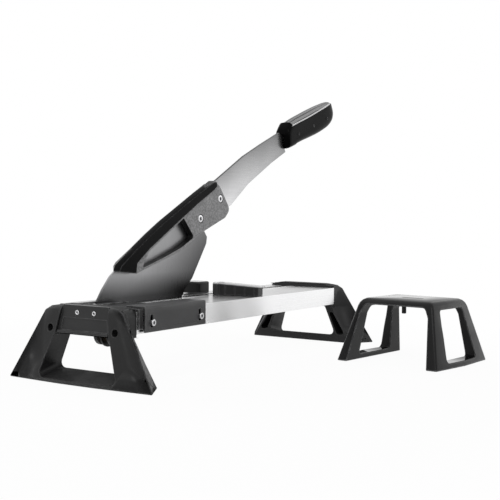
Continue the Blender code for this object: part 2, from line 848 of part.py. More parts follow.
def blade_outline(ground):
    """The whole outline, with its cutting edge drawn back by the ground bevel."""
    edge = scaled(blade_edge_shares, arm_length)
    drawn = []
    for index, (along, across) in enumerate(edge):
        before = Vector(edge[max(index - 1, 0)])
        after = Vector(edge[min(index + 1, len(edge) - 1)])
        run = (after - before).normalized()
        drawn.append((along - run.y * ground, across + run.x * ground))
    return heel_points() + drawn + scaled(blade_back_shares, arm_length)


blade = add_object("blade", skin(bmesh.new(), [
    along_y(blade_outline(0.0), blade_near_y),
    along_y(blade_outline(0.0), blade_near_y + blade_thick / 3),
    along_y(blade_outline(blade_ground), blade_far_y),
]), blade_steel, lever_frame)
cut(blade, add_object("hub_cut", turned(
    bmesh.new(), rod(hub_radius + seat_gap, blade_thick + 2 * cut_overrun),
    (0.0, blade_near_y - cut_overrun, 0.0), (0, 1, 0), fine_sides), blade_steel, lever_frame))
add_object("pivot_hub", turned(bmesh.new(), [
    (pin_radius + seat_gap, -hub_half + seat_gap),
    (hub_radius, -hub_half + seat_gap),
    (hub_radius, hub_half - seat_gap),
    (pin_radius + seat_gap, hub_half - seat_gap),
], (0.0, blade_mid_y, 0.0), (0, 1, 0), fine_sides), bronze, lever_frame)

# Cheeks and backing plate share one outline, in shares of the arm's length
cheek_shares = (
    (0.243, 0.150), (0.2695, 0.1455), (0.334, 0.129), (0.446, 0.1015), (0.565, 0.075),
    (0.676, 0.0685), (0.7694, 0.0615), (0.9415, 0.033), (0.996, 0.047), (0.9745, 0.184),
    (0.95, 0.232), (0.80, 0.236), (0.55, 0.238), (0.35, 0.232), (0.215, 0.222), (0.19, 0.20),
)
cheek_corner_shares = (
    0.012, 0.03, 0.06, 0.06, 0.06, 0.06, 0.05, 0.03, 0.025, 0.03,
    0.02, 0.02, 0.02, 0.02, 0.02, 0.01,
)
# The far cheek stays lower, under the sloping side of the spine cover
far_cheek_top_shares = (
    (0.9745, 0.184), (0.95, 0.205), (0.80, 0.208), (0.55, 0.209), (0.35, 0.203),
    (0.255, 0.195), (0.232, 0.175),
)
cheek_window_shares = (
    (0.285, 0.151), (0.334, 0.1385), (0.446, 0.1115), (0.565, 0.087), (0.662, 0.0795),
    (0.672, 0.088), (0.648, 0.193), (0.36, 0.190),
)
cheek_window_corner_shares = (0.004, 0.05, 0.05, 0.05, 0.006, 0.006, 0.004, 0.01)
cheek_bolt_shares = ((0.7618, 0.1273), (0.9494, 0.1315))
cheek_bolt_bore = 0.0068
cheek_bolt_bore_depth = 0.0045
cheek_bolt_head = 0.0062
cheek_bolt_height = 0.004
cheek_bolt_shank = 0.0038
cheek_bolt_socket = 0.0026
cheek_bolt_socket_depth = 0.0025
cheek_nut_radius = 0.0066
cheek_nut_height = 0.005
cheek_edge_radius = 0.0008

cheek_outline = rounded(scaled(cheek_shares, arm_length),
                        [share * arm_length for share in cheek_corner_shares], 3)
near_cheek = add_object("near_cheek", skin(bmesh.new(), [
    along_y([(a * (1 - cheek_edge_radius / arm_length), b) for a, b in cheek_outline],
            cheek_near_y),
    along_y(cheek_outline, cheek_near_y + cheek_edge_radius),
    along_y(cheek_outline, cheek_far_y),
]), cast_metal, lever_frame)
window_outline = rounded(scaled(cheek_window_shares, arm_length),
                         [share * arm_length for share in cheek_window_corner_shares], 3)
cut(near_cheek, add_object("cheek_window_cut", prism(
    window_outline, cheek_near_y - cut_overrun, cheek_far_y + cut_overrun),
    cast_metal, lever_frame))
far_cheek_outline = rounded(scaled(cheek_shares[:9] + far_cheek_top_shares, arm_length),
                            [share * arm_length for share in cheek_corner_shares], 3)
far_cheek = add_object("far_cheek", prism(far_cheek_outline, backing_near_y, backing_far_y),
                       cast_metal, lever_frame)

bolt_places = scaled(cheek_bolt_shares, arm_length)
bolt_shank_length = backing_far_y - cheek_near_y - cheek_bolt_bore_depth + seat_gap + cheek_nut_height
bolt_cutters = bmesh.new()
bolt_seat_y = cheek_near_y + cheek_bolt_bore_depth
for number, (along, across) in enumerate(bolt_places, 1):
    turned(bolt_cutters, [
        (0.0, bolt_shank_length + cut_overrun),
        (cheek_bolt_shank + seat_gap, bolt_shank_length + cut_overrun),
        (cheek_bolt_shank + seat_gap, 0.0),
        (cheek_bolt_bore, 0.0),
        (cheek_bolt_bore, -cheek_bolt_bore_depth - cut_overrun),
        (0.0, -cheek_bolt_bore_depth - cut_overrun),
    ], (along, bolt_seat_y, across), (0, 1, 0), 16)
    bolt = turned(bmesh.new(), screw_profile(
        cheek_bolt_head, cheek_bolt_height, cheek_bolt_shank, bolt_shank_length,
        cheek_bolt_socket, cheek_bolt_socket_depth,
    ), (along, bolt_seat_y - seat_gap, across), (0, -1, 0), 16)
    add_object(f"cheek_bolt_{number}", bolt, zinc_steel, lever_frame)
    nut = turned(bmesh.new(), [
        (cheek_bolt_shank + seat_gap, 0.0),
        (cheek_nut_radius, 0.0),
        (cheek_nut_radius, cheek_nut_height),
        (cheek_bolt_shank + seat_gap, cheek_nut_height),
    ], (along, backing_far_y + seat_gap, across), (0, 1, 0), 18)
    add_object(f"cheek_nut_{number}", nut, zinc_steel, lever_frame)
bolt_cut = add_object("cheek_bolt_cut", bolt_cutters, cast_metal, lever_frame)
cut(near_cheek, bolt_cut)
cut(far_cheek, bolt_cut)
cut(blade, bolt_cut)

# Spine cover: a channel that caps the backs of the cheeks
spine_wall = 0.0015
spine_near_y = cheek_near_y - seat_gap - spine_wall
spine_far_y = backing_far_y + seat_gap + spine_wall
spine_far_drop = 0.0093
spine_far_inset = 0.018
spine_top_shares = (
    (0.146, 0.221), (0.168, 0.237), (0.288, 0.2475), (0.406, 0.2525), (0.526, 0.2535),
    (0.66, 0.2495), (0.806, 0.243), (0.925, 0.233), (0.953, 0.222),
)
# How much of the drop each of those points takes
spine_drop_shares = (0.4, 0.7, 1.0, 1.0, 1.0, 1.0, 1.0, 0.8, 0.45)
spine_lower_shares = (
    (0.947, 0.200), (0.909, 0.1963), (0.766, 0.202), (0.600, 0.2027), (0.454, 0.2015),
    (0.3655, 0.201), (0.262, 0.190), (0.236, 0.156),
)


def spine_outline(top_drop, end_inset=0.0):
    """Side view of the cover at one depth, its top lowered and its lower end drawn in."""
    start = spine_top_shares[0][0]
    run = spine_top_shares[-1][0] - start
    outline = []
    for (along, across), share in zip(spine_top_shares, spine_drop_shares):
        shift = end_inset * (1 - (along - start) / run)
        outline.append((along * arm_length + shift, across * arm_length - top_drop * share))
    for along, across in spine_lower_shares:
        shift = end_inset * (1 - (along - start) / run)
        outline.append((along * arm_length + shift, across * arm_length))
    return list(reversed(outline))


def spine_slope(y):
    """Share of the far side's drop and inset at a depth beyond the crest."""
    return (y - spine_crest_y) / (spine_far_y - spine_crest_y)


spine_crest_y = blade_near_y - spine_wall
spine_rings = [
    along_y(spine_outline(spine_wall), spine_near_y),
    along_y(spine_outline(spine_wall / 3), spine_near_y + spine_wall),
    along_y(spine_outline(0.0), spine_crest_y),
]
for y in (blade_far_y, bar_far_y, spine_far_y):
    share = spine_slope(y)
    spine_rings.append(along_y(spine_outline(spine_far_drop * share, spine_far_inset * share), y))
spine_cover = add_object("spine_cover", skin(bmesh.new(), spine_rings), black_plastic, lever_frame)


def spine_channel(top_shares):
    """Clearance for the back of a cheek, open towards the lever's cutting side."""
    top = [(a * arm_length, b * arm_length + seat_gap) for a, b in top_shares]
    outline = [(top[0][0] + cut_overrun, 0.0)]
    outline += [(a + cut_overrun, b) for a, b in top[:2]]
    outline += top[2:]
    outline.append((top[-1][0] - seat_gap * 4, top[-1][1]))
    outline.append((top[-1][0] - seat_gap * 4, 0.0))
    return outline


cut(spine_cover, add_object("spine_channel_cut", prism(
    spine_channel(cheek_shares[9:]), cheek_near_y - seat_gap, cheek_far_y + seat_gap),
    black_plastic, lever_frame))
cut(spine_cover, add_object("spine_far_channel_cut", prism(
    spine_channel(far_cheek_top_shares), blade_mid_y, backing_far_y + seat_gap),
    black_plastic, lever_frame))
blade_slot = [(a * arm_length, b * arm_length + seat_gap) for a, b in blade_back_shares[5:10]]
blade_slot.insert(0, (blade_slot[0][0] + cut_overrun, blade_slot[0][1]))
blade_slot.insert(0, (blade_slot[0][0], 0.0))
blade_slot.append((blade_slot[-1][0], 0.0))
cut(spine_cover, add_object("spine_blade_cut", prism(
    blade_slot, blade_near_y - seat_gap, blade_far_y + seat_gap), black_plastic, lever_frame))

# Lever bar: long steel plate from the cheeks into the grip, with a narrower tang
bar_reach = 0.551
grip_length = 0.189
tang_gap = 0.001
grip_start = bar_reach + tang_gap

# Root between the cheeks, in shares of the arm's length
bar_root_lower_shares = (
    (0.3386, 0.1618), (0.5945, 0.0991), (0.7927, 0.0727), (0.9909, 0.0429), (1.0702, 0.0306),
)
bar_root_upper_shares = ((0.9840, 0.2010), (0.6606, 0.2064), (0.3551, 0.2015))
# From the arm's end to the bar's reach, and across in shares of the grip's length
bar_outer_lower_shares = ((0.3820, 0.0883), (0.7594, 0.0761), (1.0, 0.0533))
bar_outer_upper_shares = ((0.9823, 0.2624), (0.6973, 0.3042), (0.4322, 0.3365))
# Tang beyond the bar's reach, in shares of the grip's length
tang_lower_shares = ((0.505, 0.0634), (0.83, 0.0200))
tang_upper_shares = ((0.83, 0.0900), (0.505, 0.1384))
tang_root_lower_share = 0.1326
tang_root_upper_share = 0.2249


def bar_outer(shares, clear=0.0):
    """Points between the arm's end and the bar's reach."""
    run = bar_reach - arm_length
    return [(arm_length + a * run, b * grip_length + clear) for a, b in shares]


def tang_outline(clear=0.0):
    """The narrow end inside the grip, grown by a clearance."""
    outline = [(grip_start + clear, tang_root_lower_share * grip_length - clear)]
    outline += [(bar_reach + a * grip_length + clear, b * grip_length - clear) for a, b in tang_lower_shares]
    outline += [(bar_reach + a * grip_length + clear, b * grip_length + clear) for a, b in tang_upper_shares]
    outline.append((grip_start + clear, tang_root_upper_share * grip_length + clear))
    return outline


lever_bar = add_object("lever_bar", prism(
    scaled(bar_root_lower_shares, arm_length) + bar_outer(bar_outer_lower_shares) + tang_outline()
    + bar_outer(bar_outer_upper_shares) + scaled(bar_root_upper_shares, arm_length),
    bar_near_y, bar_far_y), bar_steel, lever_frame)
cut(lever_bar, bolt_cut)

# Grip: sections along the arm, each with its floor, side edge and crown
grip_half_width = 0.016
grip_mid_y = (bar_near_y + bar_far_y) / 2
insert_seat = 0.003
insert_half_share = 0.66
collar_lead = 0.024
collar_slant = 0.020

# Place along the grip, floor, edge and crest height as shares of the grip's length, width share
grip_station_shares = (
    (0.0, 0.072, 0.259, 0.291, 0.90),
    (0.11, 0.059, 0.258, 0.294, 0.96),
    (0.27, 0.032, 0.235, 0.277, 1.0),
    (0.42, -0.002, 0.208, 0.253, 1.0),
    (0.56, -0.032, 0.186, 0.230, 1.0),
    (0.70, -0.055, 0.165, 0.204, 0.98),
    (0.82, -0.066, 0.1465, 0.178, 0.93),
    (0.91, -0.055, 0.134, 0.157, 0.84),
    (0.97, -0.025, 0.123, 0.140, 0.66),
    (1.0, 0.020, 0.110, 0.121, 0.44),
)
# Corners of the body's half section: across in shares of its half width, up in shares of its height
grip_corner_shares = ((0.42, 0.02), (0.78, 0.12), (0.97, 0.34), (1.0, 0.7), (0.93, 0.95), (0.84, 1.0))
# The insert's crown: across in shares of its half width, up in shares of its rise
insert_corner_shares = ((1.0, 0.12), (0.82, 0.62), (0.45, 0.93))


def grip_body_section(station):
    """Round-bottomed section with a shallow seat for the ribbed insert."""
    place, floor, edge, _, width = station
    along = grip_start + place * grip_length
    low = floor * grip_length
    high = edge * grip_length
    half = width * grip_half_width
    seat_half = half * insert_half_share
    seat = high - insert_seat
    section = [(0.0, low)]
    section += [(half * a, low + (high - low) * b) for a, b in grip_corner_shares]
    section += [(seat_half, high), (seat_half, seat)]
    mirror = [(-a, b) for a, b in reversed(section[1:])]
    return [Vector((along, grip_mid_y + a, b)) for a, b in section + mirror]


def grip_top_section(station):
    """Crowned section of the insert, seated between the body's edges."""
    place, _, edge, crest, width = station
    along = grip_start + place * grip_length
    high = edge * grip_length
    top = crest * grip_length
    seat = high - insert_seat + seat_gap
    half = width * grip_half_width * insert_half_share - seat_gap
    section = [(0.0, seat), (half, seat)]
    section += [(half * a, high + (top - high) * b) for a, b in insert_corner_shares]
    section.append((0.0, top))
    mirror = [(-a, b) for a, b in reversed(section[1:-1])]
    return [Vector((along, grip_mid_y + a, b)) for a, b in section + mirror]


grip_body = add_object("grip_body", skin(
    bmesh.new(), [grip_body_section(station) for station in grip_station_shares]),
    black_plastic, lever_frame)
grip_top = add_object("grip_top", skin(
    bmesh.new(), [grip_top_section(station) for station in grip_station_shares[:-1]]),
    soft_plastic, lever_frame)

collar_height_shares = (0.048, 0.306)
collar_width_share = 0.93
# Place from the collar's tip to its seat, and its width there
collar_row_shares = ((0.0, 0.90), (0.25, 0.97), (1.0, 1.0))
collar_floor_rise_share = 0.25
collar_crest_drop_share = 0.12
# Half section of the collar: across in shares of its half width, up in shares of its height
collar_corner_shares = (
    (0.0, 0.0), (0.7, 0.02), (0.97, 0.16), (1.0, 0.5), (0.96, 0.86), (0.66, 0.98), (0.0, 1.0),
)
collar_rows = []
for place, grow in collar_row_shares:
    half = grip_half_width * collar_width_share * grow
    low = collar_height_shares[0] * grip_length + collar_slant * collar_floor_rise_share * place
    high = collar_height_shares[1] * grip_length - collar_slant * collar_crest_drop_share * place
    mirror = [(-a, b) for a, b in reversed(collar_corner_shares[1:-1])]
    ring = []
    for a, b in list(collar_corner_shares) + mirror:
        lead = (collar_lead - collar_slant * (1 - b)) * (1 - place)
        ring.append(Vector((grip_start - seat_gap - lead, grip_mid_y + a * half, low + b * (high - low))))
    collar_rows.append(ring)
grip_collar = add_object("grip_collar", skin(bmesh.new(), collar_rows), black_plastic, lever_frame)

bar_clear = prism(
    bar_outer(bar_outer_lower_shares, -seat_gap) + tang_outline(seat_gap)
    + bar_outer(bar_outer_upper_shares, seat_gap),
    bar_near_y - seat_gap, bar_far_y + seat_gap)
bar_clear_cut = add_object("bar_clear_cut", bar_clear, bar_steel, lever_frame)
cut(grip_collar, bar_clear_cut)
cut(grip_body, bar_clear_cut)

grip_screw_shares = ((0.190, 0.146), (0.490, 0.093), (0.777, 0.042))
grip_screw_head = 0.0028
grip_screw_height = 0.0022
grip_screw_shank = 0.0017
grip_screw_sink = 0.004
grip_screw_socket = 0.0012
grip_screw_socket_depth = 0.001
grip_screw_reach = 0.022
grip_screw_seat_y = grip_mid_y - grip_half_width + grip_screw_sink + grip_screw_height
grip_screw_holes = bmesh.new()
for number, (along, across) in enumerate(grip_screw_shares, 1):
    place = (grip_start + along * grip_length, grip_screw_seat_y, across * grip_length)
    turned(grip_screw_holes, [
        (0.0, grip_screw_reach + seat_gap),
        (grip_screw_shank + seat_gap, grip_screw_reach + seat_gap),
        (grip_screw_shank + seat_gap, 0.0),
        (grip_screw_head + seat_gap, 0.0),
        (grip_screw_head + seat_gap, -grip_half_width),
        (0.0, -grip_half_width),
    ], place, (0, 1, 0))
    screw = turned(bmesh.new(), screw_profile(
        grip_screw_head, grip_screw_height, grip_screw_shank, grip_screw_reach,
        grip_screw_socket, grip_screw_socket_depth,
    ), (place[0], place[1] - seat_gap, place[2]), (0, -1, 0))
    add_object(f"grip_screw_{number}", screw, zinc_steel, lever_frame)
grip_screw_cut = add_object("grip_screw_cut", grip_screw_holes, zinc_steel, lever_frame)
cut(grip_body, grip_screw_cut)
cut(lever_bar, grip_screw_cut)


# Stop: a swivelling fence before the slot and a fixed one beyond it

fence_x = 0.318
fence_pivot_y = 0.008
fence_rest_turn = math.radians(15)
fence_reach = 0.064
fence_half_width = 0.0115
fence_floor = deck_height + seat_gap
fence_height = 0.0165
fence_near_height = 0.0125
fence_cover_thick = 0.0022
fence_end_radius = 0.0145
fence_rib_depth = 0.0009
fence_rib_width = 0.0016
fence_rib_count = 4
fence_rib_start_share = 0.6
fence_cover_overhang = 0.004
fence_cover_shares = ((0.0, 1.0), (0.7, 1.0), (1.0, 0.93))
fence_stud_socket_share = 0.6
fence_stud_radius = 0.003
fence_stud_head = 0.0055
fence_stud_head_height = 0.0025
fence_stud_depth = 0.006
fence_knob_radius = 0.0035
fence_knob_height = 0.003

fence_frame = add_empty("fence_frame", (fence_x, fence_pivot_y, fence_floor), turn_z=fence_rest_turn)


def fence_top(y):
    """Height of the fence's top: flat about the pivot, falling towards the near end."""
    return fence_height + (fence_height - fence_near_height) * min(y, 0.0) / fence_reach


def fence_plan(overhang=0.0, steps=8):
    """Plan of the fence with its round end about the pivot."""
    outline = [
        (-fence_half_width, -fence_reach - overhang),
        (fence_half_width, -fence_reach - overhang),
        (fence_half_width, 0.0),
    ]
    start = math.asin(min(1.0, (fence_end_radius - fence_half_width) / fence_end_radius))
    for step in range(steps + 1):
        turn = start + (math.pi - 2 * start) * step / steps
        outline.append((fence_end_radius * math.cos(turn), fence_end_radius * math.sin(turn)))
    outline.append((-fence_half_width, 0.0))
    return outline


fence_body = add_object("fence_body", prism(fence_plan(), 0.0, fence_height, along_z),
                        black_plastic, fence_frame)
slope_cut = prism([
    (-fence_reach - cut_overrun, fence_top(-fence_reach - cut_overrun)),
    (0.0, fence_height),
    (0.0, fence_height + cut_overrun),
    (-fence_reach - cut_overrun, fence_height + cut_overrun),
], -fence_end_radius - cut_overrun, fence_end_radius + cut_overrun, along_x)
cut(fence_body, add_object("fence_slope_cut", slope_cut, black_plastic, fence_frame))
fence_ribs = bmesh.new()
for index in range(fence_rib_count):
    y = -fence_reach * (index + fence_rib_start_share) / fence_rib_count
    prism(rectangle(-fence_half_width - cut_overrun, -fence_half_width + fence_rib_depth,
                    y - fence_rib_width / 2, y + fence_rib_width / 2),
          -cut_overrun, fence_height + cut_overrun, along_z, fence_ribs)
cut(fence_body, add_object("fence_rib_cut", fence_ribs, black_plastic, fence_frame))

fence_cover_rings = []
for share, grow in fence_cover_shares:
    ring = []
    for x, y in fence_plan(fence_cover_overhang):
        ring.append(Vector((x * grow, y * grow, fence_top(y) + seat_gap + fence_cover_thick * share)))
    fence_cover_rings.append(ring)
fence_cover = add_object("fence_cover", skin(bmesh.new(), fence_cover_rings), soft_plastic, fence_frame)

stud_hole = add_object("fence_stud_cut", turned(bmesh.new(), [
    (0.0, -fence_stud_depth - cut_overrun),
    (fence_stud_radius + seat_gap, -fence_stud_depth - cut_overrun),
    (fence_stud_radius + seat_gap, fence_stud_head_height * 2),
    (fence_stud_head + seat_gap, fence_stud_head_height * 2),
    (fence_stud_head + seat_gap, fence_height + fence_cover_thick + cut_overrun),
    (0.0, fence_height + fence_cover_thick + cut_overrun),
], (0.0, 0.0, 0.0), (0, 0, 1), 16), zinc_steel, fence_frame)
cut(fence_body, stud_hole)
cut(fence_cover, stud_hole)
cut(near_rail, stud_hole)
add_object("fence_stud", turned(bmesh.new(), screw_profile(
    fence_stud_head, fence_stud_head_height, fence_stud_radius,
    fence_stud_head_height * 2 + fence_stud_depth, fence_stud_radius * fence_stud_socket_share,
    fence_stud_head_height / 2,
), (fence_x, fence_pivot_y, fence_floor + fence_stud_head_height * 2 + seat_gap), (0, 0, 1), 16),
    zinc_steel)

# Fixed far part of the stop
far_fence_front_y = 0.0425
far_fence_back_y = 0.074
far_fence_height = 0.0185
far_fence_half_width = 0.016
far_fence_radius = 0.004
far_fence_screw_head = 0.0035
far_fence_screw_height = 0.002
far_fence_screw_shank = 0.0018
far_fence_screw_length = 0.020
far_fence_inset = 0.0075
far_fence_edge = 0.0015
far_screw_place_share = 0.7
far_screw_socket_share = 0.7

far_fence_plan = rounded(rectangle(fence_x - far_fence_half_width, fence_x + far_fence_half_width,
                                   far_fence_front_y, far_fence_back_y), far_fence_radius, 3)
far_fence_top = rounded(rectangle(
    fence_x - far_fence_half_width + far_fence_edge, fence_x + far_fence_half_width - far_fence_edge,
    far_fence_front_y + far_fence_edge, far_fence_back_y - far_fence_edge), far_fence_radius, 3)
far_fence = add_object("far_fence", skin(bmesh.new(), [
    along_z(far_fence_plan, fence_floor),
    along_z(far_fence_plan, fence_floor + far_fence_height - far_fence_edge),
    along_z(far_fence_top, fence_floor + far_fence_height),
]), black_plastic)
far_screw_holes = bmesh.new()
for number, side in enumerate((-1, 1), 1):
    place = (fence_x + side * (far_fence_half_width - far_fence_inset / 2) * far_screw_place_share,
             far_rail_back_y - far_fence_inset, fence_floor + far_fence_height)
    turned(far_screw_holes, [
        (0.0, -far_fence_screw_length - cut_overrun),
        (far_fence_screw_shank + seat_gap, -far_fence_screw_length - cut_overrun),
        (far_fence_screw_shank + seat_gap, -far_fence_screw_height),
        (far_fence_screw_head + seat_gap, -far_fence_screw_height),
        (far_fence_screw_head + seat_gap, cut_overrun),
        (0.0, cut_overrun),
    ], place, (0, 0, 1))
    screw = turned(bmesh.new(), screw_profile(
        far_fence_screw_head, far_fence_screw_height - seat_gap, far_fence_screw_shank,
        far_fence_screw_length - far_fence_screw_height, far_fence_screw_shank * far_screw_socket_share,
        far_fence_screw_height / 2,
    ), (place[0], place[1], place[2] - far_fence_screw_height + seat_gap), (0, 0, 1))
    add_object(f"far_fence_screw_{number}", screw, zinc_steel)
far_screw_cut = add_object("far_fence_screw_cut", far_screw_holes, zinc_steel)
cut(far_fence, far_screw_cut)
cut(far_rail, far_screw_cut)


# Side bracket: slotted angle that slides up and down in front of the near rail

bracket_start_x = 0.030
bracket_end_x = 0.163
bracket_gap = 0.0035
bracket_thick = 0.0025
bracket_drop = 0.0275
bracket_rise = 0.0062
bracket_floor = deck_height - bracket_drop
bracket_top = deck_height + bracket_rise
bracket_flange_depth = 0.030
bracket_slot_half = 0.0033
bracket_slot_drop = 0.0215
bracket_slot_height = 0.017
bracket_slot_floor = deck_height - bracket_slot_drop
bracket_slot_top = bracket_slot_floor + bracket_slot_height
bracket_screw_inset = 0.0135
bracket_screw_drop = 0.015
bracket_screw_z = deck_height - bracket_screw_drop
bracket_screw_head = 0.0045
bracket_screw_height = 0.0035
bracket_screw_shank = 0.0025
bracket_screw_length = 0.012
bracket_screw_socket = 0.002
bracket_screw_socket_depth = 0.002
bracket_washer = 0.0052
cover_notch_gap = 0.001

bracket_back_y = near_rail_front_y - bracket_gap
bracket_front_y = bracket_back_y - bracket_thick
bracket_inner_y = bracket_front_y + bracket_thick + bracket_flange_depth
bracket_section = [
    (bracket_front_y, bracket_floor),
    (bracket_back_y, bracket_floor),
    (bracket_back_y, bracket_top - bracket_thick),
    (bracket_inner_y, bracket_top - bracket_thick),
    (bracket_inner_y, bracket_top),
    (bracket_front_y, bracket_top),
]
cover_notch = prism(rectangle(bracket_start_x - cover_notch_gap, cover_end_x + cut_overrun,
                              cover_front_y - cut_overrun, bracket_inner_y + cover_notch_gap),
                    cover_skirt_floor - cut_overrun, cover_top + cut_overrun, along_z)
cut(head_cover, add_object("cover_notch_cut", cover_notch, black_plastic))
side_bracket = add_object("side_bracket", prism(
    rounded(bracket_section, [0.0, 0.0, 0.0, 0.0, 0.0, bracket_thick], 3),
    bracket_start_x, bracket_end_x, along_x), anthracite)
slots = bmesh.new()
bracket_screw_holes = bmesh.new()
bracket_screw_places = (bracket_start_x + bracket_screw_inset, bracket_end_x - bracket_screw_inset)
for number, screw_x in enumerate(bracket_screw_places, 1):
    prism(rounded(rectangle(screw_x - bracket_slot_half, screw_x + bracket_slot_half,
                            bracket_slot_floor, bracket_slot_top), bracket_slot_half, 5),
          bracket_front_y - cut_overrun, bracket_back_y + cut_overrun / 2, along_y, slots)
    turned(bracket_screw_holes, rod(bracket_screw_shank + seat_gap, bracket_screw_length),
           (screw_x, near_rail_front_y - cut_overrun / 2, bracket_screw_z), (0, 1, 0))
    screw = turned(bmesh.new(), screw_profile(
        bracket_screw_head, bracket_screw_height, bracket_screw_shank,
        bracket_screw_length, bracket_screw_socket, bracket_screw_socket_depth,
    ), (screw_x, bracket_front_y - seat_gap, bracket_screw_z), (0, -1, 0))
    add_object(f"bracket_screw_{number}", screw, zinc_steel)
    spacer = turned(bmesh.new(), [
        (bracket_screw_shank + seat_gap, 0.0),
        (bracket_washer, 0.0),
        (bracket_washer, bracket_gap - 2 * seat_gap),
        (bracket_screw_shank + seat_gap, bracket_gap - 2 * seat_gap),
    ], (screw_x, bracket_back_y + seat_gap, bracket_screw_z), (0, 1, 0), 16)
    add_object(f"bracket_spacer_{number}", spacer, soft_plastic)
cut(side_bracket, add_object("bracket_slot_cut", slots, anthracite))
cut(near_rail, add_object("bracket_screw_cut", bracket_screw_holes, anthracite))


# Support stand: a loose bridge with two windowed end frames

stand_x = 0.440
stand_y = -0.2635
stand_turn = math.radians(-6.4)
stand_rise = 0.0005
stand_height = deck_height + stand_rise
stand_half_depth_floor = 0.080
stand_half_depth_top = 0.052
stand_half_width_floor = 0.085
stand_half_width_top = 0.062
stand_leg_floor = 0.017
stand_leg_shoulder = 0.010
stand_deck_thick = 0.009
stand_round = 0.007
stand_window_floor = 0.008
stand_window_drop = 0.0125
stand_window_top = stand_height - stand_window_drop
stand_window_rim_floor = 0.034
stand_window_rim_top = 0.017
stand_window_radius = 0.005
stand_arch_radius = 0.014
stand_slot_length = 0.036
stand_slot_width = 0.005
stand_peg_radius = 0.0035
stand_peg_length = 0.013
stand_bow = 0.005

stand_frame = add_empty("stand_frame", (stand_x, stand_y, 0.0), turn_z=stand_turn)


def stand_level(z_share):
    """Half depth and half width of the stand's outside at a height share."""
    depth = stand_half_depth_floor + (stand_half_depth_top - stand_half_depth_floor) * z_share
    width = stand_half_width_floor + (stand_half_width_top - stand_half_width_floor) * z_share
    return depth, width


# Height share, and how far the rounded shoulder draws in, in shares of its radius
stand_shoulder_shares = ((0.0, 0.0), (0.45, 0.0), (0.88, 0.0), (0.935, 0.12), (0.975, 0.45), (1.0, 1.0))
stand_rings = []
for height_share, draw in stand_shoulder_shares:
    depth, width = stand_level(height_share)
    depth -= draw * stand_round
    width -= draw * stand_round
    bow = stand_bow * (1 - height_share)
    outline = rounded([
        (-depth, -width),
        (0.0, -width - bow),
        (depth, -width),
        (depth, width),
        (0.0, width + bow),
        (-depth, width),
    ], [stand_round / 2, 0.0, stand_round / 2, stand_round / 2, 0.0, stand_round / 2], 3)
    stand_rings.append(along_z(outline, height_share * stand_height))
support_stand = add_object("support_stand", skin(bmesh.new(), stand_rings), black_plastic, stand_frame)

arch_top = stand_height - stand_deck_thick
arch_shoulder_z = arch_top - stand_arch_radius
arch_floor_half = stand_half_width_floor - stand_leg_floor
arch_shoulder_half = stand_level(arch_shoulder_z / stand_height)[1] - stand_leg_shoulder
arch = rounded([
    (-arch_floor_half, -cut_overrun),
    (arch_floor_half, -cut_overrun),
    (arch_shoulder_half, arch_shoulder_z),
    (arch_shoulder_half - stand_arch_radius / 2, arch_top),
    (stand_arch_radius / 2 - arch_shoulder_half, arch_top),
    (-arch_shoulder_half, arch_shoulder_z),
], [0.0, 0.0, stand_arch_radius / 2, stand_arch_radius / 2, stand_arch_radius / 2,
    stand_arch_radius / 2], 3)
cut(support_stand, add_object("stand_arch_cut", prism(
    arch, -stand_half_depth_floor - cut_overrun, stand_half_depth_floor + cut_overrun, along_x),
    black_plastic, stand_frame))

window_depth_floor = stand_half_depth_floor - stand_window_rim_floor
window_depth_top = stand_half_depth_top - stand_window_rim_top
stand_window = rounded([
    (-window_depth_floor, stand_window_floor),
    (window_depth_floor, stand_window_floor),
    (window_depth_top, stand_window_top),
    (-window_depth_top, stand_window_top),
], stand_window_radius, 3)
cut(support_stand, add_object("stand_window_cut", prism(
    stand_window, -stand_half_width_floor - stand_bow - cut_overrun,
    stand_half_width_floor + stand_bow + cut_overrun, along_y), black_plastic, stand_frame))
stand_slot = prism(rounded(rectangle(
    -stand_slot_width / 2, stand_slot_width / 2, -stand_slot_length / 2, stand_slot_length / 2),
    stand_slot_width / 2, 3), arch_top - cut_overrun, stand_height + cut_overrun, along_z)
cut(support_stand, add_object("stand_slot_cut", stand_slot, black_plastic, stand_frame))
peg = turned(bmesh.new(), rod(stand_peg_radius, stand_peg_length + stand_deck_thick / 2),
             (-stand_half_depth_top / 2, 0.0, arch_top + stand_deck_thick / 2), (0, 0, -1))
cut(support_stand, add_object("stand_peg_join", peg, black_plastic, stand_frame), "UNION")
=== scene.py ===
# %% [markdown]
# # A laminate cutter, dressed
#
# A laminate cutter shears floor boards between a hinged blade and the steel edge of its table. Its
# solid model already has the right sizes. This lesson loads that model as a fixed frame and gives
# each piece its finish: moulded black feet, brushed rails, a ground blade, a cast cheek and a ribbed
# grip. Every new piece sits in the same metres as the frame, so nothing has to be fitted by eye.

# %% Load the frame
import json
import math

import bmesh
import bpy
import numpy as np
from mathutils import Matrix, Vector

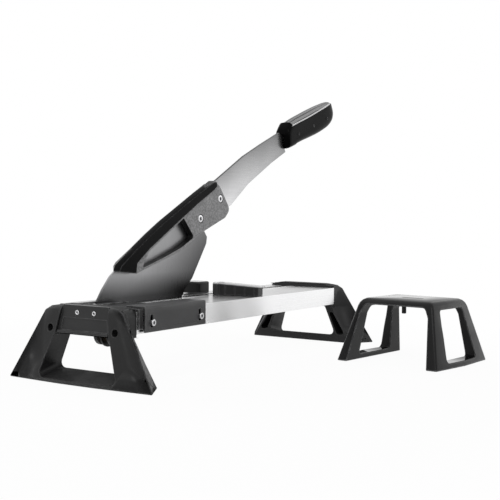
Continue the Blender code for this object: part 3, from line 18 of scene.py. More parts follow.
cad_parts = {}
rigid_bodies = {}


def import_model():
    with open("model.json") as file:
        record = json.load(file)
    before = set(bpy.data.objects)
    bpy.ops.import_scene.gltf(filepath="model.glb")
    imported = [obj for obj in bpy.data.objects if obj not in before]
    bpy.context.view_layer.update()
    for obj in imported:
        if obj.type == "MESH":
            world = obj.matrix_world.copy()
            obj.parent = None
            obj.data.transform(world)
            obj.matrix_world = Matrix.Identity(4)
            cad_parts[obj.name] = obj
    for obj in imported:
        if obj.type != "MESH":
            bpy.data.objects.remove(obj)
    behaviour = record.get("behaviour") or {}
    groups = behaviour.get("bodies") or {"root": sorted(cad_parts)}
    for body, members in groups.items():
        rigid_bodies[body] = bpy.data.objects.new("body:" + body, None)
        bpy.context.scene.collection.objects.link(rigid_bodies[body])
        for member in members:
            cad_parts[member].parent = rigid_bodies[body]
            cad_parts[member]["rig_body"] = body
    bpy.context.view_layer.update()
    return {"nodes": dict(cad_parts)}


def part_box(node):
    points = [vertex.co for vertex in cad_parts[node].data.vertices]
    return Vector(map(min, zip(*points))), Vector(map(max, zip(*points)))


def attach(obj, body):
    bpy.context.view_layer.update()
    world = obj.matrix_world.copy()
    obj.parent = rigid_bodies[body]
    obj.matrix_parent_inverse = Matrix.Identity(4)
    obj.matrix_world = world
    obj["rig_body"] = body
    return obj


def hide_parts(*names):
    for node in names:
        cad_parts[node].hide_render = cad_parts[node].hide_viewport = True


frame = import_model()
nodes = frame["nodes"]

# %% [markdown]
# ## The camera
#
# The view is worked out from the photograph's vanishing lines: a long lens, low over the floor,
# looking slantwise along the rails from the pivot end. A camera could be aimed at a point instead,
# but three angles also keep the slight roll of the picture. They give the camera's three axes, and
# the axes are the columns of its rotation.

# %% Camera
camera_place = Vector((-0.9208, -0.8442, 0.2171))
camera_yaw, camera_dip, camera_roll = math.radians(32.85), math.radians(1.966), math.radians(0.466)
looking = Vector((math.cos(camera_yaw) * math.cos(camera_dip),
                  math.sin(camera_yaw) * math.cos(camera_dip), -math.sin(camera_dip)))
level = Vector((math.sin(camera_yaw), -math.cos(camera_yaw), 0.0))
upward = level.cross(looking)
right = level * math.cos(camera_roll) + upward * math.sin(camera_roll)
top = upward * math.cos(camera_roll) - level * math.sin(camera_roll)
camera_turn = Matrix((right, top, -looking)).transposed()

camera = bpy.data.objects.new("camera", bpy.data.cameras.new("camera"))
bpy.context.collection.objects.link(camera)
camera.data.lens = 68.6
camera.data.sensor_width = 36.0
camera.data.clip_start = 0.05
camera.data.clip_end = 60.0
camera.matrix_world = Matrix.Translation(camera_place) @ camera_turn.to_4x4()
bpy.context.scene.camera = camera
print("camera looks along", [round(v, 3) for v in looking])

# %% [markdown]
# ## Node helpers for the finishes
#
# A finish is a Principled shader whose colour, roughness and bump come from noise in Object
# coordinates. All pieces stand at the origin, so Object coordinates are real metres on every piece,
# and one noise scale gives the same grain size everywhere. Nodes could be placed by hand in the
# editor, but a small function for each kind keeps a whole finish short enough to read at once.

# %% Node helpers
def new_finish(name, **sockets):
    """A material with its Principled shader; values that never change go on the shader's own sockets."""
    material = bpy.data.materials.new(name)
    material.use_nodes = True
    shader = material.node_tree.nodes["Principled BSDF"]
    for socket, value in sockets.items():
        shader.inputs[socket.replace("_", " ")].default_value = value
    return material, shader


def add(owner, kind, values=None, links=None, **settings):
    """One node: its settings, its constant inputs, and where its other inputs come from."""
    node = owner.node_tree.nodes.new(kind)
    for key, value in settings.items():
        setattr(node, key, value)
    for key, value in (values or {}).items():
        node.inputs[key].default_value = value
    for key, source in (links or {}).items():
        owner.node_tree.links.new(source, node.inputs[key])
    return node


print("helpers:", [f.__name__ for f in (new_finish, add)])

# %% [markdown]
# ### Noise, mixing and bump
#
# Every finish below is put together from six steps: a place, a noise at that place, the part of the
# noise that counts, two ways to colour with it, and bump. Blender's Wave or Brick textures are too
# regular for worn metal and plastic, so the grain is Noise, and only the casting's pits are Voronoi.

# %% Noise and mixing
def metres(material, stretch=(1.0, 1.0, 1.0), turn=(0.0, 0.0, 0.0)):
    """Object coordinates in metres, stretched and then turned.

    The turn comes last, so it doesn't steer stretched lines: it picks another part of the noise.
    """
    place = add(material, "ShaderNodeTexCoord").outputs["Object"]
    mapping = add(material, "ShaderNodeMapping", {"Scale": stretch, "Rotation": turn}, {"Vector": place})
    return mapping.outputs["Vector"]


def noise(material, vector, scale, detail=3.0, roughness=0.5):
    """Fractal noise between 0 and 1 at so many waves per metre."""
    return add(material, "ShaderNodeTexNoise",
               {"Scale": scale, "Detail": detail, "Roughness": roughness}, {"Vector": vector}).outputs["Fac"]


def spread(material, source, low, high, source_low=0.3, source_high=0.7):
    """Maps the part of a signal from source_low to source_high onto low..high, clamped at both ends."""
    return add(material, "ShaderNodeMapRange", {1: source_low, 2: source_high, 3: low, 4: high},
               {"Value": source}).outputs["Result"]


def between(material, factor, first, second):
    """Mixes two colours by a signal."""
    return add(material, "ShaderNodeMix", {6: (*first, 1.0), 7: (*second, 1.0)}, {0: factor},
               data_type="RGBA").outputs[2]


def shaded(material, colour, signal):
    """A colour times a grey signal."""
    return add(material, "ShaderNodeMix", {0: 1.0}, {6: colour, 7: signal},
               data_type="RGBA", blend_type="MULTIPLY").outputs[2]


def bumped(material, shader, height, distance, strength=1.0, normal=None):
    """Feeds a height signal to the shader as bump, on top of an earlier bump where one is given."""
    links = {"Height": height}
    if normal is not None:
        links["Normal"] = normal
    node = add(material, "ShaderNodeBump", {"Strength": strength, "Distance": distance}, links)
    material.node_tree.links.new(node.outputs["Normal"], shader.inputs["Normal"])
    return node.outputs["Normal"]


print("steps of a finish:", [f.__name__ for f in (metres, noise, spread, between, shaded, bumped)])

# %% [markdown]
# ## Signals from place and form
#
# Some tones change with the form under them, and here they are painted light: painted reflection
# and shade run along the blade and the bar, painted shade lies in sockets, grooves and recesses, and
# edges take a painted highlight. These could be painted by hand. Here they are measured on the
# surface itself, so that they stay right from every side and on every piece: by its place, by the
# way it faces, by how much open sky it sees, and by how sharply it bends.

# %% Signals
deep_sky, open_sky = 0.25, 0.75
edge_lean, flat_lean = 0.86, 0.985


def part_along(material, vector, direction):
    """How far a vector reaches along a direction: their dot product."""
    return add(material, "ShaderNodeVectorMath", {1: direction}, {0: vector},
               operation="DOT_PRODUCT").outputs["Value"]


def ramp(material, direction, start, end, first, second):
    """A signal that runs from first to second over the metres start..end along a direction."""
    place = add(material, "ShaderNodeTexCoord").outputs["Object"]
    return spread(material, part_along(material, place, direction), first, second, start, end)


def facing(material, direction, low, high):
    """1 where a face looks along a direction, 0 where it doesn't."""
    normal = add(material, "ShaderNodeNewGeometry").outputs["Normal"]
    return spread(material, part_along(material, normal, direction), 0.0, 1.0, low, high)


# Painted shade: ambient occlusion darkens the colour in sockets and recesses, where shade falls.
def hollow_shade(material, reach, darkest=0.05):
    """A grey signal that is 1 in the open and falls to darkest deep in a socket or a recess."""
    sky = add(material, "ShaderNodeAmbientOcclusion", {"Distance": reach}, samples=8)
    return spread(material, sky.outputs["AO"], darkest, 1.0, deep_sky, open_sky)


# Mask for the painted edge highlight of the mouldings: pale colour laid along every edge.
def edge_highlight_mask(material, radius):
    """1 on convex or concave edges and 0 on flats: how far a rounded normal leans off the true one."""
    soft = add(material, "ShaderNodeBevel", {"Radius": radius}, samples=6).outputs["Normal"]
    true = add(material, "ShaderNodeNewGeometry").outputs["Normal"]
    dot = add(material, "ShaderNodeVectorMath", None, {0: soft, 1: true}, operation="DOT_PRODUCT")
    return spread(material, dot.outputs["Value"], 1.0, 0.0, edge_lean, flat_lean)


print("signals:", [f.__name__ for f in (part_along, ramp, facing, hollow_shade, edge_highlight_mask)])

# %% [markdown]
# ## Moulded plastic
#
# The feet, the cover and the stand are taken to be filled nylon from a spark-eroded mould: nearly
# black, with a fine even grain and faint flow clouds; their edges take a pale painted highlight,
# broken into patches. A picture could be wrapped round them, but noise in metres needs no
# unwrapping and has no seams.
# One recipe serves all plastics and coats, which differ in tone, gloss and edge only.

# %% Plastic recipe
cloud_waves, edge_patch_waves, satin_waves, grain_waves = 14.0, 90.0, 38.0, 1500.0
groove_shade_tone, groove_shade_half, groove_lit_half = 0.04, 0.0007, 0.0014


def painted_groove_shade(material, base, middle, half_pitch):
    """Painted shade in grooves: the way across, folded back and forth, is the distance to one."""
    across = ramp(material, (0.0, 1.0, 0.0), middle - 1.0, middle + 1.0, -1.0, 1.0)
    gap = add(material, "ShaderNodeMath", {1: half_pitch}, {0: across}, operation="PINGPONG")
    return shaded(material, base, spread(material, gap.outputs[0], groove_shade_tone, 1.0, groove_shade_half, groove_lit_half))


def moulded(name, dark, pale, rough_low, rough_high, grain=0.00004, edge=(0.05, 0.05, 0.052),
            edge_radius=0.0012, specular=0.4, top_gloss=None, grooves=None):
    """Clouded base colour, painted highlights on edges, satin roughness clouds and a fine grain in the bump.

    top_gloss multiplies the roughness of faces that look up: under 1 they shine, as where boards
    have slid, and over 1 they are duller; grooves are the middle and half the pitch, in metres
    across Y, of grooves that are darkened as painted shade.
    """
    material, shader = new_finish(name, Metallic=0.0, IOR=1.5, Specular_IOR_Level=specular)
    links = material.node_tree.links
    place = metres(material)
    clouds = spread(material, noise(material, place, cloud_waves, 4.0), 0.0, 1.0)
    base = between(material, clouds, dark, pale)
    # Painted shade darkens the grooves between the insert's ribs.
    if grooves:
        base = painted_groove_shade(material, base, *grooves)
    # Painted highlight: the edge colour is laid along every edge, broken into patches.
    patches = spread(material, noise(material, place, edge_patch_waves, 5.0), 0.25, 1.0)
    highlighted_edges = add(material, "ShaderNodeMath", None, {0: edge_highlight_mask(material, edge_radius), 1: patches},
                 operation="MULTIPLY")
    colour = add(material, "ShaderNodeMix", {7: (*edge, 1.0)}, {6: base, 0: highlighted_edges.outputs["Value"]},
                 data_type="RGBA")
    links.new(colour.outputs[2], shader.inputs["Base Color"])
    rough = spread(material, noise(material, place, satin_waves, 5.0), rough_low, rough_high)
    if top_gloss:
        above = spread(material, facing(material, (0.0, 0.0, 1.0), 0.9, 0.99), 1.0, top_gloss, 0.0, 1.0)
        rough = add(material, "ShaderNodeMath", None, {0: rough, 1: above}, operation="MULTIPLY").outputs[0]
    links.new(rough, shader.inputs["Roughness"])
    bumped(material, shader, noise(material, place, grain_waves, 2.0), grain)
    return material


print("grain of the moulds:", grain_waves, "waves per metre")

# %% [markdown]
# ### The plastics and coats of this cutter
#
# Each line gives the two tones of the clouds, the range of roughness and the pale tone of the
# painted edge highlight. The stand and the spine cover are smoother than the feet, the grip is the
# darkest, and its insert has painted shade in the grooves between its ribs.

# %% Plastic finishes
grip_middle, rib_half_pitch = 0.0316, 0.0031
black_mould = moulded("black_mould", (0.008, 0.008, 0.0082), (0.014, 0.014, 0.0144), 0.42, 0.54,
                      edge=(0.11, 0.11, 0.112), edge_radius=0.0028, specular=0.28, top_gloss=1.7)
stand_black = moulded("stand_black", (0.005, 0.005, 0.0052), (0.009, 0.009, 0.0093), 0.26, 0.40, 0.000005,
                      edge=(0.34, 0.34, 0.345), edge_radius=0.0034, specular=0.16, top_gloss=0.16)
spine_black = moulded("spine_black", (0.004, 0.004, 0.0042), (0.008, 0.008, 0.0082), 0.24, 0.34, 0.00002,
                      edge=(0.20, 0.20, 0.202), edge_radius=0.0022, specular=0.03)
fascia_black = moulded("fascia_black", (0.016, 0.016, 0.0163), (0.026, 0.026, 0.0265), 0.34, 0.46, 0.00005,
                       edge=(0.16, 0.16, 0.162), specular=0.3)
grip_black = moulded("grip_black", (0.003, 0.003, 0.0031), (0.005, 0.005, 0.0052), 0.16, 0.24, 0.00001,
                     edge=(0.008, 0.008, 0.0082), specular=0.03)
insert_grey = moulded("insert_grey", (0.26, 0.26, 0.263), (0.34, 0.34, 0.343), 0.42, 0.55, 0.00002,
                      edge=(0.34, 0.34, 0.343), specular=0.3, grooves=(grip_middle, rib_half_pitch))
# Painted highlight: the pale bead stands for the light line along the lip of the insert.
rim_highlight = moulded("rim_highlight", (0.72, 0.72, 0.725), (0.82, 0.82, 0.825), 0.30, 0.40, 0.00001)
satin_grey = moulded("satin_grey", (0.50, 0.50, 0.504), (0.60, 0.60, 0.604), 0.20, 0.32,
                     edge=(0.8, 0.8, 0.8), edge_radius=0.0008)
anthracite = moulded("anthracite_coat", (0.030, 0.030, 0.031), (0.045, 0.045, 0.046), 0.34, 0.44,
                     0.00005, edge=(0.22, 0.22, 0.222), edge_radius=0.0022, specular=0.35)
print("plastics and coats:", [m.name for m in (black_mould, stand_black, spine_black, fascia_black,
                                               grip_black, insert_grey, rim_highlight, satin_grey, anthracite)])

# %% [markdown]
# ## Metals
#
# Extruded and ground metal shows thin lines. Anisotropic gloss could stand for them, but noise that
# is stretched forty to nearly two hundred times one way gives colour, roughness and bump at once.
# The blade and the bar also take slow ramps of painted reflection and shade, which are measured
# along the lever and across it, so the lever's two directions come first.

# %% Directions of the lever
lever_lean = math.radians(29.5)
arm_way = (math.cos(lever_lean), 0.0, math.sin(lever_lean))
across_way = (-math.sin(lever_lean), 0.0, math.cos(lever_lean))
print("the arm points along", [round(v, 3) for v in arm_way])

# %% [markdown]
# ### One recipe for metals
#
# The stretched lines and large soft smudges are added up. The sum gives the colour and, the other
# way round, the roughness, because bright places are smoother. Ramps of painted reflection and
# shade, painted shade on faces that look one way and painted shade in hollows are multiplied in
# where a metal asks for them.

# %% Metal recipe
smudge_waves, line_share, smudge_share = 9.0, 0.6, 0.4


def brushed(name, dark, pale, rough_low, rough_high, stretch, turn=(0.0, 0.0, 0.0), depth=0.00002,
            painted_light_ramps=(), back=None, deep=None):
    """Metal whose colour and roughness follow stretched noise and large soft smudges.

    The bump follows the lines alone. The ramps (direction, start, end, first, second) multiply the
    colour as painted reflection and shade; back is a direction and the share of the colour left on
    faces that look that way, as painted shade; deep is the reach in metres of painted shade in hollows.
    """
    material, shader = new_finish(name, Metallic=1.0)
    links = material.node_tree.links
    lines = noise(material, metres(material, stretch, turn), 1.0, 4.0, 0.6)
    smudge = spread(material, noise(material, metres(material), smudge_waves, 3.0), 0.0, smudge_share)
    both = add(material, "ShaderNodeMath", {1: line_share}, {0: lines, 2: smudge},
               operation="MULTIPLY_ADD").outputs[0]
    colour = between(material, spread(material, both, 0.0, 1.0, 0.25, 0.75), dark, pale)
    # Painted reflection and shade: each ramp multiplies the colour.
    for shade in painted_light_ramps:
        colour = shaded(material, colour, ramp(material, *shade))
    # Painted shade in sockets and hollows.
    if deep:
        colour = shaded(material, colour, hollow_shade(material, deep))
    # Painted shade on faces that look one way.
    if back:
        way, colour_left = back
        facing_shade = spread(material, facing(material, way, 0.5, 0.8), 1.0, colour_left, 0.0, 1.0)
        colour = shaded(material, colour, facing_shade)
    links.new(colour, shader.inputs["Base Color"])
    links.new(spread(material, both, rough_high, rough_low, 0.2, 0.8), shader.inputs["Roughness"])
    bumped(material, shader, lines, depth, 0.5)
    return material


print("metal recipe:", line_share, "lines and", smudge_share, "smudges")

# %% [markdown]
# ### The metals of this cutter
#
# The rails are extruded, with lines about a hand long, and their tops are darkened as painted
# shade. Painted reflection and shade darken the blade towards its edge, its outer end and the
# table, and the bar towards the grip and its upper side. Zinc has an even grain and painted shade
# in its sockets, the grip's screws are zinc darkened all over as painted shade, and the bush has
# the dull warm tone of bearing bronze.

# %% Metal finishes
even_grain = (400.0, 400.0, 400.0)
# Painted shade: faces that look up keep 0.55 of the colour.
rail_aluminium = brushed("rail_aluminium", (0.86, 0.86, 0.865), (0.95, 0.95, 0.955), 0.22, 0.30,
                         (8.0, 1500.0, 1500.0), depth=0.00001, back=((0.0, 0.0, 1.0), 0.55))
# Painted reflection and shade: ramps across the blade, along it and up from the table.
blade_ground = brushed("blade_ground", (0.25, 0.25, 0.254), (0.29, 0.29, 0.295), 0.24, 0.36,
                       (1200.0, 1200.0, 30.0), (0.0, lever_lean, 0.0), depth=0.00001,
                       painted_light_ramps=((across_way, -0.034, 0.045, 0.10, 1.15), (arm_way, 0.20, 0.33, 1.0, 0.55),
                               ((0.0, 0.0, 1.0), 0.103, 0.135, 0.20, 1.0)))
# Painted shade towards the grip and the upper side, and on the top edge.
bar_ground = brushed("bar_ground", (0.46, 0.46, 0.465), (0.53, 0.53, 0.535), 0.24, 0.36,
                     (26.0, 1300.0, 1300.0), (0.0, lever_lean, 0.0), depth=0.00001,
                     painted_light_ramps=((arm_way, 0.42, 0.66, 1.0, 0.30), (across_way, 0.034, 0.074, 1.0, 0.50)),
                     back=(across_way, 0.08))
# Painted shade darkens the zinc in its sockets.
zinc_plate = brushed("zinc_plate", (0.50, 0.50, 0.51), (0.66, 0.66, 0.67), 0.16, 0.30, even_grain,
                     deep=0.003)
# Painted shade: the grip's zinc screws are darkened all over, standing in for the shade of their holes.
socket_shade_zinc = brushed("socket_shade_zinc", (0.02, 0.02, 0.0205), (0.05, 0.05, 0.051), 0.3, 0.45, even_grain,
                      deep=0.003)
bush_bronze = brushed("bush_bronze", (0.42, 0.34, 0.25), (0.55, 0.45, 0.33), 0.3, 0.45,
                      (300.0, 900.0, 300.0))
print("metals:", [m.name for m in (rail_aluminium, blade_ground, bar_ground, zinc_plate, socket_shade_zinc,
                                   bush_bronze)])

# %% [markdown]
# ### The cast cheek
#
# The cheeks that hold the blade are taken to be castings under a thin coat of paint, which shows
# the grain of the sand. Real bumps would take millions of faces, so mottle and pits are bump, with
# the mottle in the colour too. Only faces towards the front keep their tone: all others are
# darkened almost to black as painted shade, for the shaded walls of the ribs and recesses.

# %% Cast finish
mottle_waves, cast_satin_waves, pit_waves = 320.0, 60.0, 900.0
mottle_depth, pit_depth, wall_shade_tone = 0.00025, 0.0001, 0.04


def cast_skin(name, dark, pale):
    """Painted casting: fractal noise mottle, shallow pits, and painted shade on all but the front faces."""
    material, shader = new_finish(name, Metallic=0.2, Specular_IOR_Level=0.4)
    links = material.node_tree.links
    place = metres(material)
    mottle = noise(material, place, mottle_waves, 5.0, 0.65)
    skin = between(material, spread(material, mottle, 0.0, 1.0, 0.35, 0.65), dark, pale)
    # Painted shade: faces that don't look to the front are darkened nearly to black.
    painted_wall_shade = spread(material, facing(material, (0.0, -1.0, 0.0), 0.3, 0.8), wall_shade_tone, 1.0, 0.0, 1.0)
    links.new(shaded(material, skin, painted_wall_shade), shader.inputs["Base Color"])
    satin = spread(material, noise(material, place, cast_satin_waves), 0.42, 0.58)
    links.new(satin, shader.inputs["Roughness"])
    pits = add(material, "ShaderNodeTexVoronoi", {"Scale": pit_waves}, {"Vector": place})
    rough = bumped(material, shader, mottle, mottle_depth, 0.6)
    bumped(material, shader, pits.outputs["Distance"], pit_depth, 0.4, rough)
    return material


cast_grey = cast_skin("cast_grey", (0.14, 0.14, 0.142), (0.31, 0.31, 0.314))
print("casting:", cast_grey.name)

# %% [markdown]
# ## Making a piece
#
# Two ways lead to a piece. A surface is an array of points on a grid, written to the mesh at once. A
# softened piece is a merged copy of its solid with a Bevel modifier, for mouldings and castings
# whose form is already right and only lacks the small radius that catches the light.

# %% Pieces and surfaces
weld = 0.000001


def own(mesh, name, finish, slot, body, replaced=(), smooth=38.0):
    """Turns a mesh into a finished piece that rides on its body."""
    mesh.materials.append(finish)
    mesh.shade_smooth()
    mesh.set_sharp_from_angle(angle=math.radians(smooth))
    piece = bpy.data.objects.new(name, mesh)
    bpy.context.collection.objects.link(piece)
    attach(piece, body)
    if replaced:
        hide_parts(*replaced)
    return piece


def grid_mesh(name, points, caps=True):
    """Quads over a rows x columns array of points, closed round the columns, with a cap at each end."""
    rows, columns = points.shape[:2]
    index = np.arange(rows * columns).reshape(rows, columns)
    ends = [index[0][::-1].tolist(), index[-1].tolist()]
    index = np.concatenate([index, index[:, :1]], axis=1)
    quads = np.stack([index[:-1, :-1], index[:-1, 1:], index[1:, 1:], index[1:, :-1]], axis=-1)
    faces = quads.reshape(-1, 4).tolist() + (ends if caps else [])
    mesh = bpy.data.meshes.new(name)
    mesh.from_pydata(points.reshape(-1, 3).tolist(), [], faces)
    builder = bmesh.new()
    builder.from_mesh(mesh)
    bmesh.ops.remove_doubles(builder, verts=builder.verts, dist=weld)
    bmesh.ops.recalc_face_normals(builder, faces=builder.faces)
    builder.to_mesh(mesh)
    builder.free()
    return mesh


print("surface helpers:", [f.__name__ for f in (own, grid_mesh)])

# %% [markdown]
# ### Softened copies
#
# A solid comes as loose triangles, whose edges have one face each, and a Bevel leaves such edges
# alone. The copy is therefore put on shared corners first and cleared of the edges that lie in a
# flat face. What is left are real edges, and the modifier rounds those that bend by more than 32
# degrees.

# %% Softened copies
flat_angle, bevel_angle = math.radians(1.0), math.radians(32.0)


def merged_copy(name, source):
    """A mesh's triangles on shared corners: corners equal to the micrometre become one."""
    corners = np.empty(len(source.vertices) * 3, np.float32)
    source.vertices.foreach_get("co", corners)
    _, first, index = np.unique(np.round(corners.reshape(-1, 3), 6), axis=0,
                                return_index=True, return_inverse=True)
    source.calc_loop_triangles()
    triangles = np.empty(len(source.loop_triangles) * 3, np.int32)
    source.loop_triangles.foreach_get("vertices", triangles)
    faces = index.reshape(-1)[triangles].reshape(-1, 3)
    whole = (faces[:, 0] != faces[:, 1]) & (faces[:, 1] != faces[:, 2]) & (faces[:, 0] != faces[:, 2])
    mesh = bpy.data.meshes.new(name)
    mesh.from_pydata(corners.reshape(-1, 3)[first].tolist(), [], faces[whole].tolist())
    return mesh


def softened(node, width, finish, slot):
    """The node's own shape, merged and cleared of flat edges, with a rounded bevel on the rest."""
    mesh = merged_copy(node + "_skin", nodes[node].data)
    builder = bmesh.new()
    builder.from_mesh(mesh)
    bmesh.ops.dissolve_limit(builder, angle_limit=flat_angle, verts=builder.verts, edges=builder.edges)
    builder.to_mesh(mesh)
    builder.free()
    piece = own(mesh, node + "_skin", finish, slot, nodes[node]["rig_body"], (node,))
    bevel = piece.modifiers.new("edge radius", "BEVEL")
    bevel.width = width
    bevel.segments = 2
    bevel.limit_method = "ANGLE"
    bevel.angle_limit = bevel_angle
    bevel.use_clamp_overlap = False
    bevel.harden_normals = True
    return piece


print("edges rounded from", round(math.degrees(bevel_angle)), "degrees")

# %% [markdown]
# ## Mouldings, plates and castings
#
# These keep the solid's form. The bevel width is the real corner radius: over a millimetre on the
# moulded feet and the stand, a few tenths on sawn and ground plates. A rounded-edge trick in the
# shader alone would be cheaper, but it would leave the outline sharp.

# %% Softened pieces
soft_table = (
    ("near_foot", 0.0011, black_mould, "black_plastic"),
    ("far_foot", 0.0011, black_mould, "black_plastic"),
    ("head_cover", 0.0005, stand_black, "black_plastic"),
    ("far_fence", 0.0006, stand_black, "black_plastic"),
    ("fence_body", 0.0004, black_mould, "black_plastic"),
    ("fence_cover", 0.0005, satin_grey, "grey_plastic"),
    ("support_stand", 0.0012, stand_black, "black_plastic"),
    ("spine_cover", 0.0005, spine_black, "black_plastic"),
    ("side_bracket", 0.0004, anthracite, "anthracite"),
    ("near_lug", 0.0005, anthracite, "anthracite"),
    ("far_lug", 0.0005, anthracite, "anthracite"),
    ("near_cheek", 0.0005, cast_grey, "cast_metal"),
    ("far_cheek", 0.0004, cast_grey, "cast_metal"),
    ("near_rail", 0.0002, rail_aluminium, "aluminium"),
    ("far_rail", 0.0002, rail_aluminium, "aluminium"),
    ("lever_bar", 0.0003, bar_ground, "bar_steel"),
    ("blade", 0.0002, blade_ground, "blade_steel"),
)
skins = [softened(*row) for row in soft_table]
print("softened pieces:", len(skins), "with", sum(len(skin.data.polygons) for skin in skins), "faces")

# %% [markdown]
# ## Pieces that keep their solid
#
# The end panels are thin plates cut with holes, whose large flat faces would tear if their inner
# edges were dissolved. The steel edge, the hub, the spacers and the hidden screws show too
# little of an edge to need one. They stay as they are in the frame and only get a finish.

# %% Plain nodes
plain_table = (
    ("near_fascia", fascia_black), ("far_fascia", fascia_black),
    ("counter_blade", blade_ground), ("pivot_hub", bush_bronze),
    ("bracket_spacer_1", satin_grey), ("bracket_spacer_2", satin_grey),
    ("counter_blade_screw_1", zinc_plate), ("counter_blade_screw_2", zinc_plate),
    ("counter_blade_screw_3", zinc_plate),
)
for node, finish in plain_table:
    nodes[node].data.materials.clear()
    nodes[node].data.materials.append(finish)
print("plain nodes:", len(plain_table))

# %% [markdown]
# ## Socket screws and nuts
#
# A cap screw is a turned body with a hexagon pressed into its head. The hexagon could be cut out
# with a Boolean, but here both are one surface of revolution: the radius is constant on the turned
# rings, and on the socket rings it follows a hexagon, which is the flat's distance divided by the
# cosine of the angle to the middle of the flat.

# %% Turned shapes
screw_sides = 48


def hexagon(angle):
    """Radius of a hexagon with corners at 1, for every angle."""
    return math.cos(math.pi / 6) / np.cos(np.mod(angle, math.pi / 3) - math.pi / 6)


def turning_axes(way):
    """The head's direction and two directions square to it."""
    axis = Vector(way)
    side = axis.orthogonal().normalized()
    return [np.array(v) for v in (axis, side, axis.cross(side))]


def revolve(node, way, rings, lift=0.0):
    """Points at middle + axis * height + (side cos a + other sin a) * radius * hexagon share.

    Each ring is a radius, a height over the node's top face and how much of a hexagon it is.
    """
    low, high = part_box(node)
    axis, side, other = turning_axes(way)
    middle = np.array((low + high) / 2)
    reach = abs(float(np.dot(np.array(high - low), axis))) / 2
    rings = np.array(rings, float)
    angle = np.linspace(0, math.tau, screw_sides, endpoint=False)
    shape = 1 + rings[:, 2:3] * (hexagon(angle)[None, :] - 1)
    radius = rings[:, 0:1] * shape
    height = reach + lift + rings[:, 1:2]
    return (middle + axis * height[..., None] + side * (radius * np.cos(angle))[..., None]
            + other * (radius * np.sin(angle))[..., None])


def girth_and_length(node, way):
    """Half the node's larger size square to the head's direction, and its length along it."""
    low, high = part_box(node)
    size = high - low
    axis_index = max(range(3), key=lambda k: abs(way[k]))
    return max(size[k] for k in range(3) if k != axis_index) / 2, size[axis_index]


print("a hexagon's flats lie at", round(float(hexagon(math.pi / 6)), 3), "of its corners")

# %% [markdown]
# ### A screw and a nut
#
# A screw's rings start in the middle of the socket's floor, climb its walls, round the rim of the
# head and end in the middle of the shank's end. A nut's rings run once round its wall, from the
# bore and back to it. Both are closed surfaces, as a real part is.

# %% Screw and nut
rim_share = 0.16
socket_tip, socket_cone, socket_cone_radius = 1.15, 1.12, 0.55
mouth_drop, mouth_flare, mouth_hexagon = 0.12, 1.1, 0.8
nut_chamfer, nut_face = 0.12, 0.84


def socket_screw(node, way, sizes, finish=zinc_plate, skin=None):
    """Cap screw: coned socket floor, hexagon walls, rounded head rim, plain shank.

    sizes are the head's height, the shank's radius, the socket's corner radius and its depth; skin
    is the Y to which the head of a screw that faces front is lifted.
    """
    head_height, shank, socket, depth = sizes
    head, length = girth_and_length(node, way)
    lift = 0.0 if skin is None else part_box(node)[0][1] - skin
    corner = head * rim_share
    turn = np.linspace(0, math.pi / 2, 5)
    rings = [(0.0, -depth * socket_tip, 1.0), (socket * socket_cone_radius, -depth * socket_cone, 1.0),
             (socket, -depth, 1.0), (socket, -socket * mouth_drop, 1.0),
             (socket * mouth_flare, 0.0, mouth_hexagon)]
    rings += [(head - corner + corner * math.sin(t), -corner + corner * math.cos(t), 0.0) for t in turn]
    rings += [(head, -head_height, 0.0), (shank, -head_height, 0.0), (shank, -length, 0.0),
              (0.0, -length, 0.0)]
    mesh = grid_mesh(node + "_turned", revolve(node, way, rings, lift), caps=False)
    return own(mesh, node + "_turned", finish, "zinc_steel", nodes[node]["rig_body"], (node,), 30.0)


def hexagon_nut(node, way, bore):
    """Nut: hexagon sides between two turned chamfers, with a round bore."""
    corner, tall = girth_and_length(node, way)
    drop, face = tall * nut_chamfer, corner * nut_face
    rings = [(bore, 0.0, 0.0), (face, 0.0, 0.0), (corner, -drop, 1.0), (corner, -tall + drop, 1.0),
             (face, -tall, 0.0), (bore, -tall, 0.0), (bore, 0.0, 0.0)]
    mesh = grid_mesh(node + "_turned", revolve(node, way, rings), caps=False)
    return own(mesh, node + "_turned", zinc_plate, "zinc_steel", nodes[node]["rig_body"], (node,), 30.0)


print("rim of a screw's head:", rim_share, "of its radius")

# %% [markdown]
# ### Fitting the screws
#
# Every screw takes its place, girth and length from its node in the frame, so a row only says which
# way the head looks and what its head, shank and socket are like. The heads of the grip's three
# screws are lifted half a millimetre past the widest part of the new grip shell, in which they
# would otherwise be buried.

# %% Screws and nuts
near_end, far_end, front, rear = (-1, 0, 0), (1, 0, 0), (0, -1, 0), (0, 1, 0)
down, up = (0, 0, -1), (0, 0, 1)
grip_skin = 0.0151


def numbered(family, count):
    """The names of a family of like nodes."""
    return [f"{family}_{k}" for k in range(1, count + 1)]


screw_table = (
    (numbered("near_fascia_screw", 2), near_end, (0.0030, 0.0019, 0.0017, 0.0018)),
    (numbered("far_fascia_screw", 2), far_end, (0.0030, 0.0019, 0.0017, 0.0018)),
    (numbered("near_rail_bolt", 2), near_end, (0.0040, 0.0022, 0.0024, 0.0024)),
    (numbered("far_rail_bolt", 2), far_end, (0.0040, 0.0022, 0.0024, 0.0024)),
    (numbered("near_lug_screw", 2), down, (0.0030, 0.0021, 0.0020, 0.0018)),
    (numbered("far_lug_screw", 2), down, (0.0030, 0.0021, 0.0020, 0.0018)),
    (numbered("bracket_screw", 2), front, (0.0035, 0.0025, 0.0023, 0.0022)),
    (numbered("cheek_bolt", 2), front, (0.0040, 0.0038, 0.0031, 0.0028)),
    (numbered("grip_screw", 3), front, (0.0022, 0.0017, 0.0014, 0.0013), socket_shade_zinc, grip_skin),
    (numbered("far_fence_screw", 2), up, (0.0017, 0.0018, 0.0016, 0.0011)),
    (["fence_stud"], up, (0.0025, 0.0030, 0.0022, 0.0016)),
    (["pivot_pin"], front, (0.0040, 0.0050, 0.0033, 0.0024)),
)
